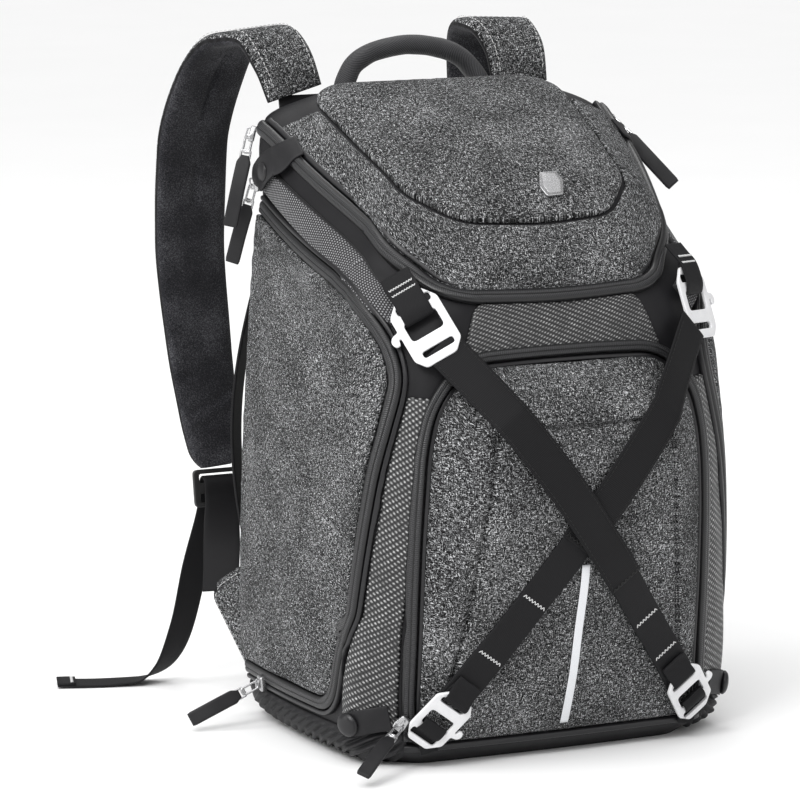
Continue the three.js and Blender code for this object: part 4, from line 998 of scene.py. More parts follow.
def make_side_zips():
    turn, z = region_outline(SIDE_PANEL, 0.8 + ZIP_WIDTH / 2, 1.9)
    roll = dress(band_on_skin("side_zip_roll_right", turn, z, SIDE_ZIP_ROLL, v_middle=-2.1), "coated_zip")
    piping = dress(band_on_skin("side_zip_piping_right", turn, z, SIDE_ZIP_PIPING), "piping")
    settle_pair(roll, "coated_zip", "zip_side")
    settle_pair(piping, "coated_zip")


# Patterned strips on the front corners

POCKET_ZIP_WIDTH = 9.0
POCKET_ZIP_OFFSET = 1.6


def edge_turn(edge, z):
    return blend_rows(edge, z)[:, 1].reshape(np.shape(z))


CORNER_STRIP = {
    "bottom": BASE_HEIGHT + 1.2, "top": 288, "corners": (2, 2, 2, 2),
    "low": lambda z: walk_turn(edge_turn(SIDE_FRONT_EDGE, z), z, ZIP_WIDTH + 1.6),
    "high": lambda z: edge_turn(STRIP_FRONT_EDGE, z),
}


def strip_shape(u, v, distances):
    away = edge_distance(distances)
    return -2.2 + 2.4 * rolled(away, 4) + 1.1 * smooth_step(3, 16, away) + 0.25 * waves(u, v, 60, 21)


def make_corner_strips():
    strip = dress(pad("corner_strip_cloth_right", CORNER_STRIP, 120, 26, strip_shape), "carbon")
    settle_pair(strip, "carbon_cloth", "corner_strip")


# Front pocket

POCKET_PUFF = 5.0
POCKET_LIFT = -1.2
POCKET_WALL = 3.0
POCKET_BOTTOM = POCKET_ROWS[0][0]
POCKET_TOP = POCKET_ROWS[-1][0]
FLAP_SEAM_HEIGHT = 251.0
DEPTH_X = np.arange(-128, 129, 4.0)
DEPTH_Z = np.arange(6, 343, 6.0)
DEPTH_PLACES = front_place(*np.meshgrid(DEPTH_X, DEPTH_Z))
DEPTH_Y = skin(*DEPTH_PLACES)[..., 1]


def front_depth(x, z):
    """The skin's y at places on the front, read from a table made once."""
    column = np.clip((x - DEPTH_X[0]) / 4, 0, len(DEPTH_X) - 1.001)
    row = np.clip((z - DEPTH_Z[0]) / 6, 0, len(DEPTH_Z) - 1.001)
    c, r = column.astype(int), row.astype(int)
    fc, fr = column - c, row - r
    top = DEPTH_Y[r + 1, c] * (1 - fc) + DEPTH_Y[r + 1, c + 1] * fc
    return (DEPTH_Y[r, c] * (1 - fc) + DEPTH_Y[r, c + 1] * fc) * (1 - fr) + top * fr


def pocket_forward(x, z, detail=True):
    """How far the pocket stands out of the front, with its seams and soft unevenness."""
    shape = np.shape(x)
    x, z = np.ravel(x), np.ravel(z)
    row = blend_rows(POCKET_ROWS, z)
    edge, seam, bulge = row[:, 1], row[:, 2], row[:, 3]
    to_edge = np.maximum(0, edge - np.abs(x))
    to_end = np.minimum(POCKET_TOP - z, 2 * (z - POCKET_BOTTOM))
    puff = POCKET_PUFF * np.sqrt(np.clip(np.minimum(to_edge, to_end) / 14, 0, 1))
    rise = np.clip(to_edge / (edge - seam), 0, 1)
    middle = np.maximum(0, 1 - (np.abs(x) / seam)**2)
    forward = bulge * (0.25 * rise + 0.75 * rise**1.4) + puff + 2.5 * middle * np.minimum(1, bulge / 10)
    if detail:
        below = smooth_step(FLAP_SEAM_HEIGHT + 1.5, FLAP_SEAM_HEIGHT - 3, z)
        inner = np.abs(x) - seam
        crease = np.exp(-(inner / 1.9)**2) * 6.0 + np.exp(-(inner / 8.0)**2) * 2.6
        crease = crease * below * smooth_step(POCKET_BOTTOM, POCKET_BOTTOM + 20, z)
        to_seam = z - FLAP_SEAM_HEIGHT
        seam_dip = np.exp(-(to_seam / 1.5)**2) * 3.4 + np.exp(-(to_seam / 7)**2) * 1.4
        flap = seam_dip * smooth_step(4, -4, inner)
        away = np.minimum(to_edge, np.minimum(to_end, np.abs(inner) + 2))
        pucker = waves(x, z, 15, 31) * 0.4 * np.exp(-away / 8) * smooth_step(0, 3, away)
        broad = waves(x, z, 75, 33) * 1.1 * smooth_step(4, 26, np.minimum(to_edge, to_end))
        folds = waves(x * 0.45 + z * 0.2, z * 0.3, 26, 37) * 0.5 * smooth_step(0, 14, -inner) * below
        lean = 1.4 * np.exp(-((np.abs(x) - seam - 15) / 9)**2) * below
        forward = forward - crease - flap + pucker + broad + folds + lean * smooth_step(40, 110, z)
    return forward.reshape(shape)


def pocket_point(x, z, lift=0.0, detail=True):
    y = front_depth(x, z) - POCKET_LIFT - pocket_forward(x, z, detail) - lift
    return np.stack([x, y, z], axis=-1)


def make_pocket():
    z = POCKET_BOTTOM + (POCKET_TOP - POCKET_BOTTOM) * eased(164, 0.5)
    edge = blend_rows(POCKET_ROWS, z)[:, 1]
    x = edge[:, None] * (2 * eased(164, 0.45) - 1)[None, :]
    heights = np.broadcast_to(z[:, None], x.shape)
    outer = pocket_point(x, heights)
    inner = pocket_point(x * (1 - POCKET_WALL / 130), heights, detail=False)
    inner[..., 1] += POCKET_WALL + 2.5
    inner[..., 1] = np.minimum(inner[..., 1], front_depth(x, heights) + 2.6)
    inner[..., 1] = np.maximum(inner[..., 1], outer[..., 1] + 1.0)
    uv = np.stack([x, path_lengths(outer)], axis=-1)
    pocket = dress(slab("front_pocket_cloth", outer, inner, uv), "melange")
    settle(pocket, "grey_melange", "front_pocket", padded=0.45)


def pocket_ring(outward, spacing=2.0):
    """Widths and heights of a line round the pocket's edge, a set distance outside it."""
    z = np.linspace(POCKET_BOTTOM, POCKET_TOP, 200)
    right = np.stack([blend_rows(POCKET_ROWS, z)[:, 1], z], axis=1)
    crown = [(POCKET_ROWS[-1][1] * share, POCKET_TOP + rise) for share, rise in ((0.6, 1.2), (0.25, 1.8))]
    half = np.concatenate([right, crown])
    ring = np.concatenate([half, half[::-1] * (-1, 1)])
    lengths = path_lengths(ring)
    even = np.arange(0, lengths[-1], spacing)
    ring = np.stack([np.interp(even, lengths, ring[:, 0]), np.interp(even, lengths, ring[:, 1])], axis=1)
    ring = np.stack([smoothed(ring[:, 0], 15), smoothed(ring[:, 1], 15)], axis=1)
    along = unit(np.gradient(ring, axis=0))
    return ring + np.stack([along[:, 1], -along[:, 0]], axis=1) * outward


def make_pocket_zip():
    ring = pocket_ring(POCKET_ZIP_WIDTH / 2 + POCKET_ZIP_OFFSET)
    ring = ring[ring[:, 1] > BASE_FRONT_HEIGHT + 6]
    turn, z = front_place(ring[:, 0], ring[:, 1])
    turn = np.where(ring[:, 0] < 0, 2 * HALF_TURN + turn, turn)
    roll = roll_profile(-POCKET_ZIP_WIDTH / 2 - 1.2, POCKET_ZIP_WIDTH / 2 - 1.2, -1.6, 2.6)
    piece = dress(band_on_skin("pocket_zip_roll", turn, z, roll, v_middle=-1.2), "coated_zip")
    settle(piece, "coated_zip", "zip_front")
    half = POCKET_ZIP_WIDTH / 2
    edging = roll_profile(half - 0.8, half + 3.0, -2.2, 0.3, groove=0, steps=6)
    settle(dress(band_on_skin("pocket_zip_edging", turn, z, edging), "piping"), "coated_zip")


# Band between the pocket and the lid, and the lid's zip, band and panel

TOP_BAND = {
    "bottom": 322, "top": 378, "corners": (2, 2, 2, 2), "low": lambda z: np.full(np.shape(z), 6.05),
    "high": lambda z: np.full(np.shape(z), 2 * HALF_TURN - 6.05),
}


def flat_shape(height, roll, unevenness=0.2):
    def shape(u, v, distances):
        away = edge_distance(distances)
        return -2.4 + (height + 2.4) * rolled(away, roll) + unevenness * waves(u, v, 70, 41)
    return shape


def make_top_band():
    band = dress(pad("top_band_cloth", TOP_BAND, 40, 130, flat_shape(-0.1, 2.5)), "carbon_band")
    settle(band, "carbon_cloth", "top_band")


LID_START = 1.78
LID_BAND_START = 2.03


def lid_band_heights(turn, z):
    """Heights spread from just above the zip to the seam under the lid's top."""
    share = (z - LID_BAND["bottom"]) / (LID_BAND["top"] - LID_BAND["bottom"])
    return z + rise_at(ZIP_RISE, turn) * (1 - share) + rise_at(SEAM_RISE, turn) * share


LID_BAND = {
    "bottom": LID_LINE + 4.5, "top": 431, "corners": (2, 2, 2, 2),
    "low": lambda z: np.full(np.shape(z), LID_BAND_START),
    "high": lambda z: np.full(np.shape(z), 2 * HALF_TURN - LID_BAND_START),
    "bend": lid_band_heights,
}


def make_lid_zip():
    turn = np.linspace(LID_START, 2 * HALF_TURN - LID_START, 460)
    z = LID_LINE + rise_at(ZIP_RISE, turn)
    roll = band_on_skin("lid_zip_roll", turn, z, roll_profile(-4.6, 6.6, -1.4, 2.8), v_middle=1.0)
    settle(dress(roll, "coated_zip"), "coated_zip", "zip_lid")
    piping = roll_profile(-9.4, -4.8, -2.0, 0.9, groove=0, steps=6)
    settle(dress(band_on_skin("lid_zip_piping", turn, z, piping), "piping"), "coated_zip")


def lid_band_shape(u, v, distances):
    away = edge_distance(distances)
    pucker = waves(u, v * 0.4, 18, 51) * 0.3 * np.exp(-away / 7) * rolled(away, 4)
    crown = 2.6 * rolled(away, 4.5) + 0.9 * smooth_step(3, 14, away)
    return -1.6 + crown + pucker + waves(u, v, 90, 53) * 0.4


def make_lid_band():
    band = dress(pad("lid_band_cloth", LID_BAND, 26, 380, lid_band_shape), "melange")
    settle(band, "grey_melange", "lid_band", padded=0.3)


LID_PANEL_START = 432.2
LID_PANEL_END = 449.9


def make_lid_panel():
    """The crowned top of the lid: rings up to its middle, with a rolled edge."""
    share = eased(90, 0.6)
    z = LID_PANEL_START + (LID_PANEL_END - LID_PANEL_START) * share**0.8
    turn, heights = np.meshgrid(turns_around(16), z)
    heights = heights + rise_at(SEAM_RISE, turn) * smooth_step(LID_PANEL_END - 1, LID_PANEL_START, heights)
    ground = skin(turn, heights)
    away = path_lengths(ground)
    x, y = ground[..., 0], ground[..., 1]
    lift = -1.8 + 2.8 * rolled(away, 5) + 1.2 * smooth_step(4, 60, away)
    lift = lift + waves(x, y, 14, 61) * 0.3 * np.exp(-away / 8) * rolled(away, 5)
    lift = lift + waves(x, y, 100, 63) * 0.8 * smooth_step(6, 40, away)
    normal = skin_normal(turn, np.minimum(heights, 449.0))
    outer = ground + normal * lift[..., None]
    inner = (ground + normal * PAD_BASE)[::-1]
    rings = np.concatenate([inner, outer])
    flat = np.stack([rings[..., 0], rings[..., 1] / math.cos(math.radians(25))], axis=-1)
    panel = dress(tube("lid_panel_cloth", rings, flat), "melange")
    settle(panel, "grey_melange", "lid_panel", padded=0.4)


# Thread: little round-ended stitches on the cloth

# A thread from end to end: share of the way, share of the radius, share of the rise
STITCH_SHAPE = [(0.0, 0.35, -0.3), (0.15, 0.9, 0.6), (0.5, 1.0, 1.0), (0.85, 0.9, 0.6), (1.0, 0.35, -0.3)]


def stitches(name, starts, ends, ups, radius=0.42, rise=0.25):
    """Many short threads, each a small closed capsule between two points."""
    starts, ends, ups = (np.asarray(value, float) for value in (starts, ends, ups))
    along = unit(ends - starts)
    sides = unit(np.cross(along, ups))
    ups = unit(np.cross(sides, along))
    angle = np.linspace(0, 2 * np.pi, 6, endpoint=False)
    rings = []
    for share, size, lift in STITCH_SHAPE:
        middle = starts * (1 - share) + ends * share + ups * (rise * lift)
        circle = sides[:, None] * np.cos(angle)[None, :, None] + ups[:, None] * np.sin(angle)[None, :, None]
        rings.append(middle[:, None] + circle * radius * size)
    rings = np.stack(rings, axis=1)
    count, rows, columns = rings.shape[:3]
    quads = grid_quads(rows, columns, wrap=True)
    offsets = np.arange(count)[:, None, None] * rows * columns
    walls = (quads[None] + offsets).reshape(-1, 4)
    cap = np.arange(columns)
    caps = np.stack([cap[::-1], cap + (rows - 1) * columns])
    ends_faces = (caps[None] + offsets).reshape(-1, columns)
    points = rings.reshape(-1, 3)
    return mesh_object(name, points, facing_out(points, [walls, ends_faces]))


def stitch_line(name, points, ups, stitch=3.2, gap=1.3, radius=0.38, look="thread"):
    """A running seam along a path."""
    points, ups = np.asarray(points, float), np.asarray(ups, float)
    lengths = path_lengths(points)
    starts = np.arange(1.0, lengths[-1] - stitch, stitch + gap)

    def at(values, places):
        return np.stack([np.interp(places, lengths, values[:, axis]) for axis in range(3)], axis=1)
    middle = at(ups, starts + stitch / 2)
    return dress(stitches(name, at(points, starts), at(points, starts + stitch), middle, radius), look)


def bartack(name, centre, across, along, up, width, height=2.4, count=15):
    """A dense zigzag across a strap."""
    place = np.linspace(-width / 2, width / 2, count)
    lean = np.where(np.arange(count) % 2 == 0, 1, -1) * height / 2
    points = centre + np.outer(place, across) + np.outer(lean, along)
    ups = np.broadcast_to(up, (count - 1, 3))
    return dress(stitches(name, points[:-1], points[1:], ups, radius=0.42, rise=0.2), "thread")


# Crossed straps

UPPER_HOOK = np.array([107.0, 322.0])
LOWER_HOOK = np.array([102.0, 40.0])
STRAP_LIFT = 1.6
STRAP_THICKNESS = 1.7
UPPER_WIDTH = 28.5
LOWER_WIDTH = 25.5
STRAP_B_BOW = 12.0
OVERPASS_LIFT = 4.6
PATH_POINTS = 241


def front_reach(x, z):
    row = blend_rows(POCKET_ROWS, z)
    inside = (np.abs(x) < row[:, 1]) & (z > POCKET_BOTTOM) & (z < POCKET_TOP)
    stand = POCKET_LIFT + pocket_forward(x, z, detail=False)
    return np.where(inside, stand, 2.0) - front_depth(x, z)


def taut_path(start, end, width, bow=0.0):
    """Points of a strap pulled straight over the front: it bridges every hollow under it."""
    share = np.linspace(0, 1, PATH_POINTS)
    x, z = (start[i] + (end[i] - start[i]) * share for i in (0, 1))
    x = x + bow * (1 - share)**5
    side = unit(np.array([end[1] - start[1], start[0] - end[0]])) * width / 2
    reach = np.max([front_reach(x + side[0] * k, z + side[1] * k) for k in (-1, -0.5, 0, 0.5, 1)], axis=0)
    hull = []
    for index, value in enumerate(reach):
        while len(hull) > 1:
            (i, a), (j, b) = hull[-2:]
            if (b - a) * (index - j) > (value - b) * (j - i):
                break
            hull.pop()
        hull.append((index, value))
    keys, values = zip(*hull)
    taut = np.interp(np.arange(PATH_POINTS), keys, values)
    taut = np.maximum(smoothed(taut, 13, mode="reflect", reflect_type="odd"), taut)
    points = np.stack([x, -taut, z], axis=1)
    along = unit(np.gradient(points, axis=0))
    forward = np.array([0.0, -1.0, 0.0])
    return points, unit(forward - along * (along @ forward)[:, None])


def strap_piece(name, points, ups, first, last, width, lift, look, thickness=STRAP_THICKNESS, edge=0.7):
    pick = slice(int(first * (PATH_POINTS - 1)), int(last * (PATH_POINTS - 1)) + 1)
    lifts = np.broadcast_to(lift, PATH_POINTS)[pick]
    middle = points[pick] + ups[pick] * lifts[:, None]

    def sag(length, offset):
        return waves(length, offset, 60, 71) * 0.3 - 0.25 * (offset / (width / 2))**2
    return dress(ribbon(name, middle, ups[pick], width, thickness, edge=edge, sag=sag), look)


def sleeve_marks(name, points, ups, width, lift, tacks):
    """Bartacks across a strap at given shares of its length."""
    along = unit(np.gradient(points, axis=0))
    made = []
    for number, tack in enumerate(tacks):
        index = int(tack * (PATH_POINTS - 1))
        height = np.broadcast_to(lift, PATH_POINTS)[index] + STRAP_THICKNESS / 2
        centre = points[index] + ups[index] * height
        across = np.cross(along[index], ups[index])
        made.append(bartack(f"{name}_{number}", centre, across, along[index], ups[index], width - 5))
    return merge(name, made)


def make_cross_straps():
    share = np.linspace(0, 1, PATH_POINTS)
    over = OVERPASS_LIFT * smooth_step(0.2, 0.42, share) * smooth_step(0.8, 0.58, share)
    for label, sign, join, rise, tacks in (
            ("a", -1, 0.665, over, (0.64, 0.775, 0.875)), ("b", 1, 0.56, 0, (0.66, 0.70, 0.845))):
        start, end = UPPER_HOOK * (sign, 1), LOWER_HOOK * (-sign, 1)
        points, ups = taut_path(start, end, 26, STRAP_B_BOW if sign > 0 else 0)
        facing = skin_normal(sign * 4.4, 340)
        turned = smooth_step(0.26, 0.1, share)[:, None] * (0.95 if sign > 0 else 0.5)
        along = unit(np.gradient(points, axis=0))
        ups = unit(ups * (1 - turned) + facing * turned)
        ups = unit(ups - along * np.sum(ups * along, axis=1)[:, None])
        low = STRAP_LIFT + STRAP_THICKNESS / 2 + rise
        upper = strap_piece(f"strap_{label}_upper", points, ups, 0.045, join, UPPER_WIDTH, low + 0.5,
                            "webbing")
        lower = strap_piece(f"strap_{label}_lower", points, ups, join - 0.05, 0.965, LOWER_WIDTH, low - 0.9,
                            "flat_webbing", thickness=2.4)
        node = f"cross_strap_{label}"
        settle(upper, "black_webbing", node)
        settle(lower, "black_webbing", node)
        marks = sleeve_marks(f"strap_{label}_bartacks", points, ups, LOWER_WIDTH,
                             low - 0.55, tacks[1:])
        settle(marks, "black_webbing", node)
        first = sleeve_marks(f"strap_{label}_sleeve_tack", points, ups, UPPER_WIDTH + 2, low + 0.5,
                             (join - 0.006,))
        dress(first, "dark_thread")
        settle(first, "black_webbing", node)
        seam_lines(f"strap_{label}_edge_seam", points, ups, 0.06, join - 0.01, UPPER_WIDTH / 2 - 2.2,
                   low + 0.5 + STRAP_THICKNESS / 2, node)


def seam_lines(name, points, ups, first, last, offset, lift, node):
    pick = slice(int(first * (PATH_POINTS - 1)), int(last * (PATH_POINTS - 1)) + 1)
    along = unit(np.gradient(points, axis=0))
    side = np.cross(along, ups)[pick]
    lifts = np.broadcast_to(lift, PATH_POINTS)[pick][:, None]
    lines = [stitch_line(f"{name}_{k}", points[pick] + ups[pick] * lifts + side * offset * k, ups[pick],
                         2.6, 1.2, 0.22, "dark_thread") for k in (-1, 1)]
    settle(merge(name, lines), "black_webbing", node)


# Flat hooks

HOOK_THICKNESS = 2.6
HOOK_LIFT = 5.2
HOOK_PLATE = [(-13, -27), (11, -27), (19, -19), (19, 16), (11, 27), (-9, 27), (-19, 17), (-19, 9)]
HOOK_ARM = [(-19, 6), (-24.5, 5), (-27, 1), (-25, -3.4),
            (-21.5, -3.4), (-20.6, 1.0), (-19, 0.5), (-19, -19)]
HOOK_SLOTS = [((27, 6), 2.4, (1, 18.5)), ((26, 15), 3.4, (0, 1.5)), ((25, 5), 2.2, (1, -18))]


def hook_plate(name, centre, along, out, scale, hand=1):
    along, out = unit(along), unit(out)
    along = unit(along - out * (along @ out))
    across = np.cross(along, out)
    corners = np.array(HOOK_PLATE + HOOK_ARM) * scale * (hand, 1)
    outline = rounded_outline(corners[::hand], 2.2 * scale)
    holes = [[(x * scale * hand, y * scale) for x, y in rounded_box(*size, radius, spot)]
             for size, radius, spot in HOOK_SLOTS]
    piece = plate(name, outline, holes, HOOK_THICKNESS, 0.7, basis(centre, across, along, out))
    return dress(weld(piece), "metal")


def loop_over(name, centre, along, out, width, points, look="flat_webbing", thickness=1.7, count=60):
    """A short webbing loop given in a plate's own axes: across, along and out."""
    along, out = unit(along), unit(out)
    along = unit(along - out * (along @ out))
    across = np.cross(along, out)
    rows = np.array([centre + across * x + along * y + out * z for x, y, z in points])
    path = along_path(rows, count)
    tangent = unit(np.gradient(path, axis=0))
    sides = np.broadcast_to(across, path.shape)
    return dress(ribbon(name, path, np.cross(sides, tangent), width, thickness, sides=sides), look)


UPPER_HOOK_PLACES = {-1: (4.95, 349, 31), 1: (4.35, 349, 4)}


def make_hooks():
    for side, label in ((-1, "left"), (1, "right")):
        turn, z, lean = UPPER_HOOK_PLACES[side]
        out = skin_normal(side * turn, z)
        centre = lifted(side * turn, z, HOOK_LIFT)
        along = np.array([side * math.tan(math.radians(lean)), 0.0, 1.0])
        along = unit(along - out * (along @ out))
        hook = hook_plate(f"hook_upper_{label}", centre, along, out, 1.0, -side)
        settle(hook, "bright_metal", f"upper_hook_{label}")
        across = np.cross(along, out)
        loop = loop_over(f"webbing_loop_{label}", centre, along, out, 23, [
            (0, 46, -6.0), (0, 38, -2.0), (0, 30, 2.2), (0, 20, 3.4), (0, 12, 3.0), (0, 8, 1.2),
            (0, 6.9, -1.6), (0, 10, -3.2), (0, 22, -3.6)])
        settle(loop, "black_webbing", f"shoulder_webbing_{label}")
        tacks = [bartack(f"webbing_tack_{label}_{row}", centre + along * row + out * rise, across, along,
                         out, 19, 1.6, 19) for row, rise in ((30.0, 2.9), (35.0, 1.4))]
        settle(merge(f"webbing_tacks_{label}", tacks), "black_webbing", f"shoulder_webbing_{label}")
        points, ups = taut_path(UPPER_HOOK * (-side, 1), LOWER_HOOK * (side, 1), 26)
        centre, out = points[-1] + ups[-1] * (HOOK_LIFT - 0.4), ups[-1]
        along = unit(points[-1] - points[-31])
        hook = hook_plate(f"hook_lower_{label}", centre, along, out, 0.86, 1)
        settle(hook, "bright_metal", f"lower_hook_{label}")
        end = loop_over(f"strap_end_{label}", centre, along, out, 21, [
            (0, -36, -3.4), (0, -28, -2.4), (0, -22.5, 0.6), (0, -19.5, 2.4), (0, -16.6, 1.6),
            (0, -16.2, -1.4), (0, -19, -3.4), (0, -28, -3.9)])
        settle(end, "black_webbing", f"cross_strap_{'a' if side > 0 else 'b'}")
        anchor = loop_over(f"hook_anchor_{label}", centre, along, out, 20, [
            (0, 26, -4.6), (0, 18, -3.6), (0, 12, -3.0), (0, 5.0, -1.6), (0, 3.2, 1.2), (0, 6, 2.7),
            (0, 11, 2.5), (0, 16, -2.0), (0, 24, -3.2)])
        settle(anchor, "black_webbing", f"hook_loop_{label}")


# Shoulder webbing and snap tabs

SHOULDER_WEBBING = [[2.0, 383.5], [2.4, 383.5], [2.75, 383.5], [3.1, 379],
                    [3.5, 371], [4.0, 363], [4.5, 357.5]]
WEBBING_WIDTH = 24.0


def smooth_places(places, count, scale=30.0):
    """A smooth line through turns and heights, spread evenly."""
    table = np.array([[turn * scale, z] for turn, z in places])
    line = along_path(table, count)
    return line[:, 0] / scale, line[:, 1]


def make_shoulder_webbing():
    turn, z = smooth_places(SHOULDER_WEBBING, 150)
    widths = np.linspace(-1, 1, 13)
    profile = [(w * WEBBING_WIDTH / 2, -1.9 + 2.2 * min(1, (1 - abs(w)) * 9)) for w in widths]
    piece = dress(band_on_skin("shoulder_webbing_cloth_right", turn, z, profile), "dotted")
    settle_pair(piece, "grey_webbing", "shoulder_webbing")


def tab_on_skin(name, turn, z, width, lift, thickness, look):
    """A thin strip over the skin with a round end."""
    lengths = path_lengths(skin(turn, z))
    to_end = lengths[-1] - lengths
    half = width / 2
    widths = np.where(to_end < half, np.sqrt(np.maximum(0.02, 1 - (1 - to_end / half)**2)), 1.0) * width
    points = lifted(turn, z, np.broadcast_to(lift, turn.shape))
    strip = ribbon(name, points, skin_normal(turn, z), np.maximum(widths, 1.5), thickness, edge=0.6)
    return dress(strip, look)


def snap(name, turn, z, lift, radius, height):
    """A domed snap cap with a rolled rim."""
    centre, out = lifted(turn, z, lift), skin_normal(turn, z)
    side = unit(np.cross(out, (0, 0, 1)))
    other = np.cross(out, side)
    profile = [(0.9, -0.1), (1.0, 0.15), (1.0, 0.35), (0.93, 0.5)]
    profile += [(0.9 * math.cos(a), 0.5 + 0.5 * math.sin(a)) for a in np.linspace(0.15, 1.5, 10)]
    angle = np.linspace(0, 2 * np.pi, 40, endpoint=False)
    circle = side[None] * np.cos(angle)[:, None] + other[None] * np.sin(angle)[:, None]
    rings = [centre + circle * radius * r + out * height * h for r, h in profile]
    return dress(tube(name, np.array(rings)), "piping")


UPPER_TAB = [[2.28, 420.5], [2.24, 412], [2.17, 402], [2.08, 390], [1.98, 378]]
UPPER_SNAP = (2.1, 391)
LOWER_TAB = [[3.2, 31], [3.6, 33], [4.1, 36], [4.6, 39]]


def make_snap_tabs():
    turn, z = smooth_places(UPPER_TAB, 60)
    bulge = 3.2 + 1.2 * np.sin(np.linspace(0, np.pi, 60))**2
    upper = tab_on_skin("snap_tab_upper_right", turn, z, 22, bulge, 2.0, "rubber")
    upper_cap = snap("snap_upper_right", *UPPER_SNAP, 4.7, 7, 2.6)
    turn, z = smooth_places(LOWER_TAB[::-1], 60)
    lower = tab_on_skin("snap_tab_lower_right", turn, z, 19, np.full(60, 2.2), 1.9, "rubber")
    lower_cap = snap("snap_lower_right", 3.45, 32.5, 3.2, 9, 5.0)
    for level, tab, cap in (("upper", upper, upper_cap), ("lower", lower, lower_cap)):
        settle_pair(tab, "black_rubber", f"{level}_snap_tab")
        settle_pair(cap, "smooth_black", f"{level}_snap")


# Base

RIB_PITCH = 6.0
RIB_SLOPE = 0.47
RIB_HEIGHT = 3.3
RIB_LEVEL = 14.0


def make_base():
    turns = turns_around(56)
    amount = np.abs(turns)
    front = smooth_step(4.85, 5.15, amount)
    top = BASE_HEIGHT + (BASE_FRONT_HEIGHT - BASE_HEIGHT) * front
    share = np.linspace(0, 1, 49)[:, None]
    z = top[None, :] * (1 - share)
    turn = np.broadcast_to(turns[None, :], z.shape)
    places = np.linspace(0, HALF_TURN, 141)
    run = np.interp(amount, places, path_lengths(skin(places, RIB_LEVEL)))
    phase = (z - RIB_SLOPE * run[None, :]) * 2 * np.pi / RIB_PITCH
    ridge = 0.5 + 0.5 * np.sin(phase)
    where = smooth_step(1.85, 2.15, amount) * smooth_step(4.95, 4.6, amount)
    fade = smooth_step(top[None, :] - 0.5, top[None, :] - 4.5, z) * smooth_step(1.5, 4.5, z)
    edge = rolled(np.minimum(top[None, :] - z, 40), 2.5)
    lift = -2.4 + 1.6 * edge + RIB_HEIGHT * ridge * where[None, :] * fade
    outer = lifted(turn, z, lift)
    outer[-1, :, 2] = 0
    outer[:, :, 2] = np.maximum(outer[:, :, 2], 0)
    z_in = np.maximum(z[::-8], 3.4)
    inner = lifted(turn[::8], z_in, np.full(z_in.shape, -2.7))
    base = dress(tube("base_tray_rubber", np.concatenate([inner, outer])), "rubber")
    settle(base, "black_rubber", "base_tray")
    turn = np.linspace(4.95, 2 * HALF_TURN - 4.95, 240)
    z = np.full(turn.shape, 15.6)
    roll = roll_profile(-2.8, 2.8, -1.8, 2.4, groove=0, steps=7)
    settle(dress(band_on_skin("base_piping_roll", turn, z, roll), "piping"), "smooth_black", "base_piping")


# Reflective strip, badge

BADGE_SPOT = (6.38, 442.8)
BADGE_OUTLINE = [(-9, -13), (5, -12), (11, 3), (9, 13), (-5, 12), (-11, -3)]


def make_strip_and_badge():
    z = np.linspace(26, 149, 60)
    points = pocket_point(np.zeros(60), z, 0.75)
    ups = np.broadcast_to((0.0, -1.0, 0.0), points.shape)
    settle(dress(ribbon("reflective_tape", points, ups, 6.6, 0.6, edge=0.25), "reflective"),
           "silver_strip", "reflective_strip")
    out = skin_normal(*BADGE_SPOT)
    along = np.array([0, 0.9, 0.4])
    along = unit(along - out * (along @ out))
    across = np.cross(along, out)
    outline = rounded_outline(BADGE_OUTLINE, 1.4)
    centre = lifted(*BADGE_SPOT, 2.3)
    rim = plate("badge_plate", outline, [], 2.2, 0.6, basis(centre, across, along, out))
    inset = [(x * 0.72, y * 0.8) for x, y in outline]
    face = plate("badge_face", inset, [], 1.2, 0.35, basis(centre + out * 0.8, across, along, out))
    dress(weld(rim), "dark_metal")
    dress(weld(face), "badge_metal")
    settle(merge("badge_metal", [rim, face]), "bright_metal", "badge")


# Carry handle and grab handles

HANDLE_PATH = [
    (-59, 104, 449), (-58, 114, 466), (-48, 121, 484), (-28, 123, 495), (0, 123, 499), (28, 123, 495),
    (48, 121, 484), (58, 114, 466), (59, 104, 449),
]
HANDLE_RADIUS = 8.0


def round_tube(name, path, radius, look, count=160, facets=28, flat=1.0, uneven=0.0, seed=1):
    """A bar along a smooth path, made rounder or flatter, with soft wrinkles."""
    points = along_path(path, count)
    tangent = unit(np.gradient(points, axis=0))
    guide = np.array([0.0, 1.0, 0.0])
    side = unit(np.cross(tangent, np.broadcast_to(guide, tangent.shape)))
    other = np.cross(side, tangent)
    angle = np.linspace(0, 2 * np.pi, facets, endpoint=False)
    lengths = path_lengths(points)[:, None]
    bumps = waves(lengths, angle[None, :] * 9, 22, seed)
    size = np.broadcast_to(radius, (count,))[:, None] + uneven * bumps
    rings = points[:, None] + side[:, None] * (np.cos(angle)[None, :] * size * flat)[..., None]
    rings = rings + other[:, None] * (np.sin(angle)[None, :] * size)[..., None]
    around = np.broadcast_to(angle[None, :] * radius, size.shape)
    uv = np.stack([np.broadcast_to(lengths, size.shape), around], axis=-1)
    return dress(tube(name, rings, uv), look)


SIDE_HANDLE_ENDS = (126, 314)
SIDE_HANDLE_TURN = 1.44
SIDE_HANDLE_LIFT = 13.0


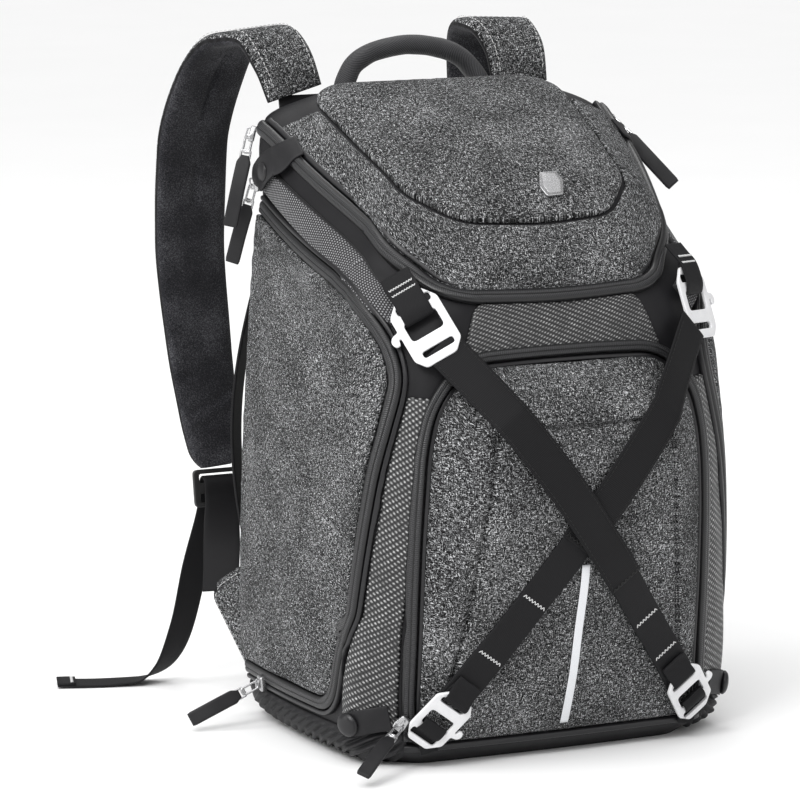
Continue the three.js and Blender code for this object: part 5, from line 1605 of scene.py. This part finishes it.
def make_handles():
    handle = round_tube("carry_handle_wrap", HANDLE_PATH, HANDLE_RADIUS, "handle", flat=0.94,
                        uneven=0.25, seed=81)
    settle(handle, "black_webbing", "carry_handle", padded=0.8)
    z = np.linspace(*SIDE_HANDLE_ENDS, 90)
    lift = SIDE_HANDLE_LIFT * np.sin(np.clip((z - 130) / 180, 0, 1) * np.pi)**0.9 - 2.0
    turn = np.full(90, SIDE_HANDLE_TURN)
    points = lifted(turn, z, lift)
    strip = ribbon("side_handle_webbing_right", points, skin_normal(turn, z), 16, 2.0)
    settle_pair(dress(strip, "flat_webbing"), "black_webbing", "side_handle")


# Shoulder straps

SHOULDER_STRAP = [
    (95, 5, 112, 467, (0, -0.98, 0.2), 46), (98, 9, 119, 492, (0, -0.85, 0.5), 50),
    (100, 15, 138, 509, (0, -0.2, 1), 55), (107, 18, 164, 505, (0.2, 0.5, 0.85), 60),
    (119, 18, 188, 472, (0.25, 0.95, 0.3), 65), (128, 17, 202, 420, (0.25, 1, 0.1), 66),
    (132, 14, 206, 350, (0.2, 1, 0), 63), (134, 9, 200, 280, (0.15, 1, -0.08), 58),
    (135, 3, 191, 215, (0.1, 1, -0.12), 50), (135, 0, 184, 174, (0, 1, -0.15), 38),
]
SHOULDER_THICKNESS = 12.0
STRAP_ROWS = 210
STRAP_ACROSS = 27


# Start and end of each slit in the lining, and place and depth of each crease
STRAP_SLITS = [(92, 160), (188, 226)]
STRAP_SLIT_FADE = 8
STRAP_CREASES = [(378, 1.6), (392, 1.1), (351, 0.8)]
STRAP_END = 16
STRAP_SEAM_INSET = 5.5
STRAP_CROSS_SEAM_ROW = 30


def strap_route(side):
    """Places along a shoulder strap, with its middle, face, side and width at each."""
    table = np.array([[side * x - lean, y, z, side * up[0], up[1], up[2], width]
                      for x, lean, y, z, up, width in SHOULDER_STRAP])
    lengths = path_lengths(table[:, :3])
    place = np.linspace(0, lengths[-1], STRAP_ROWS)
    smooth = blend_rows(np.concatenate([lengths[:, None], table], axis=1), place)[:, 1:]
    points, ups, widths = smooth[:, :3], unit(smooth[:, 3:6]), smooth[:, 6]
    to_end = lengths[-1] - place
    narrow = np.sqrt(np.maximum(0.3, 1 - (1 - to_end / STRAP_END)**2 * 0.6))
    widths = widths * np.where(to_end < STRAP_END, narrow, 1)
    along = unit(np.gradient(points, axis=0))
    sides = unit(np.cross(along, ups))
    return place, points, unit(np.cross(sides, along)), sides, widths


def strap_heights(side, s, w, widths):
    """How far the strap's face and its lining stand off its middle."""
    half = SHOULDER_THICKNESS / 2
    rim = np.maximum(0, 1 - np.abs(w)**7)**0.5
    across = w[None, :] * widths[:, None] / 2
    inner_edge = (1 - np.abs(w[None, :])) * widths[:, None] / 2
    outer_rise = half * rim[None, :] * (0.93 + 0.07 * (1 - w**2))[None, :]
    outer_rise = outer_rise + 0.35 * waves(s, across, 55, 91 + side) * rim[None, :]
    lower_rise = half * rim[None, :] + 0.5 * waves(s, across, 70, 95 + side) * rim[None, :]
    slit = np.exp(-(across / 1.1)**2) * 2.2
    slit = slit * sum(smooth_step(start, start + STRAP_SLIT_FADE, s)
                      * smooth_step(end, end - STRAP_SLIT_FADE, s) for start, end in STRAP_SLITS)
    crease = sum(np.exp(-((s + 0.35 * across - at) / 4.0)**2) * depth for at, depth in STRAP_CREASES)
    crease = crease * smooth_step(-4, 12, inner_edge)
    piping = 0.9 * np.exp(-((inner_edge - 2.2) / 1.6)**2)
    return outer_rise + piping * 0.4, lower_rise - slit - crease + piping * 0.2


def paint_strap(strap, columns):
    """Melange on the face, felt on the lining and webbing on the rim."""
    index = np.zeros(len(strap.data.polygons), int)
    quads = (STRAP_ROWS - 1) * columns
    column = np.arange(quads) % columns
    index[:quads] = np.where((column >= STRAP_ACROSS) & (column < columns - 1), 1, 0)
    rim_band = (column >= STRAP_ACROSS - 2) & (column <= STRAP_ACROSS)
    rim_band = rim_band | (column <= 0) | (column >= columns - 2)
    index[:quads] = np.where(rim_band, 2, index[:quads])
    strap.data.polygons.foreach_set("material_index", index.astype(np.int32))


def strap_seams(label, points, ups, sides, widths):
    """A stitch line along each edge of the strap's upper end, and one across it."""
    half = SHOULDER_THICKNESS / 2
    seam = slice(4, 60)
    lines = []
    for k in (-1, 1):
        offset = (widths[seam] / 2 - STRAP_SEAM_INSET) * k
        line = points[seam] + sides[seam] * offset[:, None] + ups[seam] * (half * 0.97 + 0.5)
        lines.append(stitch_line(f"strap_seam_{label}_{k}", line, ups[seam], 3.0, 1.4, 0.3))
    cross = STRAP_CROSS_SEAM_ROW
    spread = np.linspace(-0.5, 0.5, 30)[:, None] * (widths[cross] - 12)
    line = points[cross] + sides[cross] * spread + ups[cross] * (half * 0.99 + 0.5)
    facing = np.broadcast_to(ups[cross], line.shape)
    lines.append(stitch_line(f"strap_cross_seam_{label}", line, facing, 3.0, 1.4, 0.34))
    return merge(f"shoulder_strap_seams_{label}", lines)


def shoulder_strap(side, label):
    place, points, ups, sides, widths = strap_route(side)
    w = np.sin(np.linspace(-1, 1, STRAP_ACROSS) * np.pi / 2)
    s = place[:, None]
    across = w[None, :] * widths[:, None] / 2
    high, low = strap_heights(side, s, w, widths)
    flat = points[:, None] + sides[:, None] * across[..., None]
    top = flat + ups[:, None] * high[..., None]
    bottom = flat - ups[:, None] * low[..., None]
    rings = np.concatenate([top, bottom[:, ::-1]], axis=1)
    uv = np.stack([np.broadcast_to(s, across.shape), across], axis=-1)
    uv = np.concatenate([uv, uv[:, ::-1]], axis=1)
    strap = tube(f"shoulder_strap_pad_{label}", rings, uv[:, :, ::-1])
    dress(strap, "melange", "felt", "flat_webbing")
    paint_strap(strap, rings.shape[1])
    settle(strap, "grey_melange", f"shoulder_strap_{label}", padded=0.6)
    settle(strap_seams(label, points, ups, sides, widths), "grey_melange", f"shoulder_strap_{label}")


# The webbing below a shoulder strap: its middle, the way that its face looks and its width
LOWER_WEBBING = [
    (155, 131, 88, 0.5, -0.7, 0.6, 28),
    (149, 143, 103, 0.5, -0.7, 0.6, 28),
    (140, 162, 130, 0.2, -0.9, 0.4, 28),
    (135, 174.5, 153, 0, -1, 0.2, 27),
    (135, 176.5, 163, 0, -1, 0.5, 26),
    (135, 181.4, 167, 0, 0.1, 1, 26),
    (135, 186, 163, 0, 1, 0.5, 26),
    (136, 187, 148, 0, 1, 0.1, 25),
    (148, 195, 95, 0.2, 1, 0.15, 25),
    (157, 203, 45, 0.3, 1, 0.3, 25),
    (168, 211, 16, 0.3, 0.7, 0.8, 25),
    (188, 220, 3, 0.1, 0.1, 1, 25),
    (218, 230, 1.6, 0, 0, 1, 25),
    (246, 240, 2.2, 0, 0, 1, 25),
]
BUCKLE_CENTRE = (135, 180.6, 158.2)


def make_strap_ends():
    table = np.array(LOWER_WEBBING, float)
    lengths = path_lengths(table[:, :3])
    place = np.linspace(0, lengths[-1], 260)
    smooth = blend_rows(np.concatenate([lengths[:, None], table], axis=1), place)[:, 1:]
    points, ups, widths = smooth[:, :3], smooth[:, 3:6], smooth[:, 6]
    points[:, 2] = np.maximum(points[:, 2], 1.2)
    webbing = dress(ribbon("strap_tail_webbing_right", points, ups, widths, 1.5, edge=0.6), "flat_webbing")
    end = points[-1]
    along = unit(points[-1] - points[-8])
    across = unit(np.cross(along, (0, 0, 1)))
    hem = [end - along * 14 + (0, 0, 1.7), end - along * 7 + (0, 0, 1.8), end + along * 0.4 + (0, 0, 1.5)]
    fold = ribbon("strap_tail_hem_right", np.array(hem), np.array([(0, 0, 1)] * 3), 25, 1.6, edge=0.6)
    dress(fold, "flat_webbing")
    middle = end - along * 11 + (0, 0, 2.7)
    tack = bartack("strap_tail_tack_right", middle, across, along, np.array([0, 0, 1.0]), 20)
    joined = merge("strap_webbing_cloth_right", [webbing, fold, tack])
    settle_pair(joined, "black_webbing", "strap_webbing")
    along = unit([0, 0.16, 1])
    out = np.array([0, -1.0, 0])
    out = unit(out - along * (out @ along))
    across = np.cross(along, out)
    holes = [rounded_box(32, 7, 2, (0, 7.5)), rounded_box(32, 7, 2, (0, -7.5))]
    buckle = plate("ladder_buckle_right", rounded_box(42, 29, 4), holes, 3.0, 0.9,
                   basis(np.array(BUCKLE_CENTRE) + out * 1.5, across, along, out))
    dress(weld(buckle), "gun_metal")
    settle_pair(buckle, "bright_metal", "strap_buckle")


WING_OUTLINE = [(0, 0), (0, 92), (14, 94), (38, 78), (42, 66)]
WING_FOOT = (135, 104, 16)


def make_wings():
    across = unit([0.5, 0.86, 0])
    up = np.array([0, 0, 1.0])
    out = np.cross(across, up)
    outline = np.array(rounded_outline(WING_OUTLINE, 6, 8))
    centre = np.array([16.0, 58.0])
    rows = []
    for share in np.linspace(0, 1, 16):
        ring = centre + (outline - centre) * share
        rows.append(ring)
    rings_top, rings_low = [], []
    for share, ring in zip(np.linspace(0, 1, 16), rows):
        swell = 2.6 * math.sqrt(max(0, 1 - share**4))
        flat = np.array(WING_FOOT) + ring[:, :1] * across + ring[:, 1:] * up
        middle = out * 2.5
        rings_top.append(flat + middle + out * swell)
        rings_low.append(flat + middle - out * swell)
    rings = np.concatenate([rings_top, np.array(rings_low)[::-1][1:]])[1:-1]
    flat = np.concatenate([rows, rows[::-1][1:]])[1:-1]
    wing = dress(tube("strap_wing_cloth_right", rings, flat), "melange")
    inner = centre + (outline - centre) * 0.86
    inner = np.concatenate([inner, inner[:1]])
    lines = []
    for k in (-1, 1):
        path = np.array(WING_FOOT) + inner[:, :1] * across + inner[:, 1:] * up + out * (2.5 + 2.15 * k)
        facing = np.broadcast_to(out * k, path.shape)
        lines.append(stitch_line(f"wing_seam_{k}", path, facing, 3.0, 1.4, 0.3))
    settle_pair(wing, "grey_melange", "strap_wing", padded=0.3)
    settle_pair(merge("wing_seam_right", lines), "grey_melange", "strap_wing")


def make_strap_bands():
    for side, label in ((-1, "left"), (1, "right")):
        path = along_path([(93 * side, 103, 436), (93 * side, 107.5, 450), (93 * side, 111.4, 466)], 24)
        ups = np.broadcast_to((0, -1, 0.1), path.shape)
        band = dress(ribbon(f"strap_band_webbing_{label}", path, ups, 42, 2.8, edge=1.0), "flat_webbing")
        settle(band, "black_webbing", f"strap_band_{label}")


BACK_PAD = {
    "bottom": 34, "top": 372, "corners": (24, 24, 24, 24), "low": lambda z: np.full(np.shape(z), -1.1),
    "high": lambda z: np.full(np.shape(z), 1.1),
}


def back_shape(u, v, distances):
    away = edge_distance(distances)
    return -1.5 + 4.0 * rolled(away, 7) + 6.0 * smooth_step(4, 60, away) + 0.7 * waves(u, v, 90, 101)


def make_back_panel():
    panel = dress(pad("back_panel_mesh", BACK_PAD, 84, 70, back_shape), "mesh")
    settle(panel, "smooth_black", "back_panel", padded=0.5)


# Zip pulls: where each slider sits, how its tab hangs, where the tab faces, its length and its side

PULLS = [
    ("lid_left", 1.6, 400, 0.8, (0.28, -0.08, -1), (0.5, -0.8, 0.2), 54, -1),
    ("lid_right", 1.85, 402, 3, (0.42, -0.6, -0.66), (-0.5, -0.8, 0.2), 54, 1),
    ("side_top_left", 1.7, 374, -1, (0.2, 0.22, -1), (0.5, -0.8, 0.2), 46, -1),
    ("side_foot_left", 2.2, 34, 0.4, (0.8, 0.1, -0.36), (0.5, -0.8, 0.2), 42, -1),
    ("front_foot_left", 4.9, 36, 2.6, (0.72, -0.5, -0.4), (0.4, -0.7, 0.6), 44, -1),
]


def make_pull(name, turn, z, lift, hang, facing, tab_length):
    out = skin_normal(turn, z)
    base = lifted(turn, z, lift)
    free = unit(hang)
    flat = unit(free - out * (free @ out))
    side = unit(np.cross(flat, out))
    across = unit(np.cross(free, facing))
    face = np.cross(across, free)
    body_outline = rounded_outline([(-3.4, -6), (3.4, -6), (4.6, 1), (4.2, 6), (-4.2, 6), (-4.6, 1)], 1.6)
    body = plate(f"{name}_body", body_outline, [], 4.4, 1.2, basis(base + out * 2.2, side, flat, out))
    bail = plate(f"{name}_bail", rounded_box(4.6, 9, 1.8), [rounded_box(2.0, 6.2, 0.9)], 1.6, 0.5,
                 basis(base + out * 5.0, out, flat, np.cross(out, flat)))
    root = base + out * 4.2
    link = plate(f"{name}_link", rounded_box(7, 15, 3), [rounded_box(3.6, 11, 1.6)], 1.7, 0.6,
                 basis(root + free * 8, across, free, face))
    ring = plate(f"{name}_ring", rounded_box(8.6, 9, 2.6), [rounded_box(5.2, 5.6, 1.4)], 1.5, 0.55,
                 basis(root + free * 16.5, across, free, face))
    parts = [weld(part) for part in (body, bail, link, ring)]
    metal = dress(merge(f"{name}_metal", parts), "dark_metal")
    start = root + free * 17.0
    share = np.linspace(0, 1, 40)[:, None]
    bend = face * (np.sin(share * np.pi * 1.3) * 1.6 + share * 1.2)
    path = start + free * tab_length * share + bend
    lengths = path_lengths(path)
    width = 11.0 * np.where(lengths < 6, 0.62 + 0.38 * smooth_step(0, 6, lengths), 1.0)
    width = width * np.where(lengths[-1] - lengths < 2.5, 0.9 + 0.1 * (lengths[-1] - lengths) / 2.5, 1)
    tab = ribbon(f"{name}_tab", path, np.broadcast_to(face, path.shape), width, 2.5, edge=0.8)
    return metal, dress(tab, "rubber")


def make_pulls():
    for label, turn, z, lift, hang, facing, length, hand in PULLS:
        metal, pull = make_pull(f"zip_{label}", turn, z, lift, hang, facing, length)
        for piece, node, slot, kind in ((metal, "zip_slider", "bright_metal", "metal"),
                                        (pull, "zip_tab", "black_rubber", "tab")):
            if hand < 0:
                other = mirror_object(piece, f"pull_{label}_{kind}")
                bpy.data.objects.remove(piece)
                piece = other
            settle(piece, slot, f"{node}_{label}")


def make_hook_loops():
    turn, z = smooth_places([[6.0, 14], [5.9, 23], [5.85, 30]], 20)
    path = lifted(turn, z, np.full(20, 4.4))
    loop = dress(ribbon("hook_loop_webbing_right", path, skin_normal(turn, z), 14, 1.6), "flat_webbing")
    settle_pair(loop, "black_webbing", "hook_loop")


# Camera, floor and light

def make_camera():
    azimuth, elevation = math.radians(CAMERA_AZIMUTH), math.radians(CAMERA_ELEVATION)
    away = Vector((math.sin(azimuth) * math.cos(elevation), -math.cos(azimuth) * math.cos(elevation),
                   math.sin(elevation)))
    data = bpy.data.cameras.new("photo_camera")
    data.lens = CAMERA_LENS
    data.sensor_width = CAMERA_SENSOR
    camera = bpy.data.objects.new("photo_camera", data)
    bpy.context.scene.collection.objects.link(camera)
    camera.location = Vector(CAMERA_TARGET) + away * CAMERA_DISTANCE
    camera.rotation_euler = (-away).to_track_quat("-Z", "Y").to_euler()
    bpy.context.scene.camera = camera


def plain_look(name, tone, roughness):
    look = Look(name, roughness=roughness, specular=0.2)
    fine = look.noise(look.body_place(), 0.004, 2.0)
    return look.finish(look.ramp(fine, [(0.3, (tone * 0.985,) * 3), (0.7, (tone,) * 3)]))


FLOOR_HALF = 9000.0


def make_floor():
    size = FLOOR_HALF
    points = np.array([[-size, -size, 0], [size, -size, 0], [size, size, 0], [-size, size, 0]])
    floor = mesh_object("floor", points, [np.array([[0, 1, 2, 3]])], smooth=False)
    floor.data.materials.append(plain_look("pale_floor", 0.97, 0.6))


def area_light(name, place, aim, size, power):
    data = bpy.data.lights.new(name, "AREA")
    data.shape = "RECTANGLE"
    data.size, data.size_y = size
    data.energy = power
    light = bpy.data.objects.new(name, data)
    bpy.context.scene.collection.objects.link(light)
    light.location = place
    light.rotation_euler = (Vector(aim) - Vector(place)).to_track_quat("-Z", "Y").to_euler()


WORLD_STRENGTH = 0.46
SUN_STRENGTH = 2.05

# Each soft light: name, place, the point it looks at, size, power
SOFT_LIGHTS = [
    ("key", (-2.1, -1.5, 2.3), (0, 0, 0.25), (0.9, 0.9), 34),
    ("side_strip", (-2.4, 0.3, 0.9), (0, 0, 0.25), (0.5, 1.6), 12),
    ("front_fill", (1.5, -2.6, 1.0), (0, 0, 0.25), (0.8, 1.4), 6),
    ("top_rim", (0.5, 1.3, 2.4), (0, 0, 0.4), (1.4, 0.7), 16),
]


def make_light():
    bpy.context.scene.view_settings.view_transform = "Standard"
    world = bpy.data.worlds.new("studio")
    bpy.context.scene.world = world
    world.use_nodes = True
    world.node_tree.nodes["Background"].inputs[0].default_value = (1.0, 1.0, 1.0, 1.0)
    world.node_tree.nodes["Background"].inputs[1].default_value = WORLD_STRENGTH
    for row in SOFT_LIGHTS:
        area_light(*row)
    sun = bpy.data.lights.new("floor_sun", "SUN")
    sun.energy = SUN_STRENGTH
    sun.angle = math.radians(70)
    lamp = bpy.data.objects.new("floor_sun", sun)
    bpy.context.scene.collection.objects.link(lamp)
    lamp.rotation_euler = (math.radians(20), math.radians(-24), 0)


make_camera()
make_shell()
make_side_panels()
make_side_zips()
make_corner_strips()
make_pocket()
make_pocket_zip()
make_top_band()
make_lid_zip()
make_lid_band()
make_lid_panel()
make_cross_straps()
make_hooks()
make_shoulder_webbing()
make_snap_tabs()
make_base()
make_strip_and_badge()
make_handles()
shoulder_strap(-1, "left")
shoulder_strap(1, "right")
make_strap_ends()
make_wings()
make_strap_bands()
make_back_panel()
make_pulls()
make_hook_loops()
make_floor()
make_light()
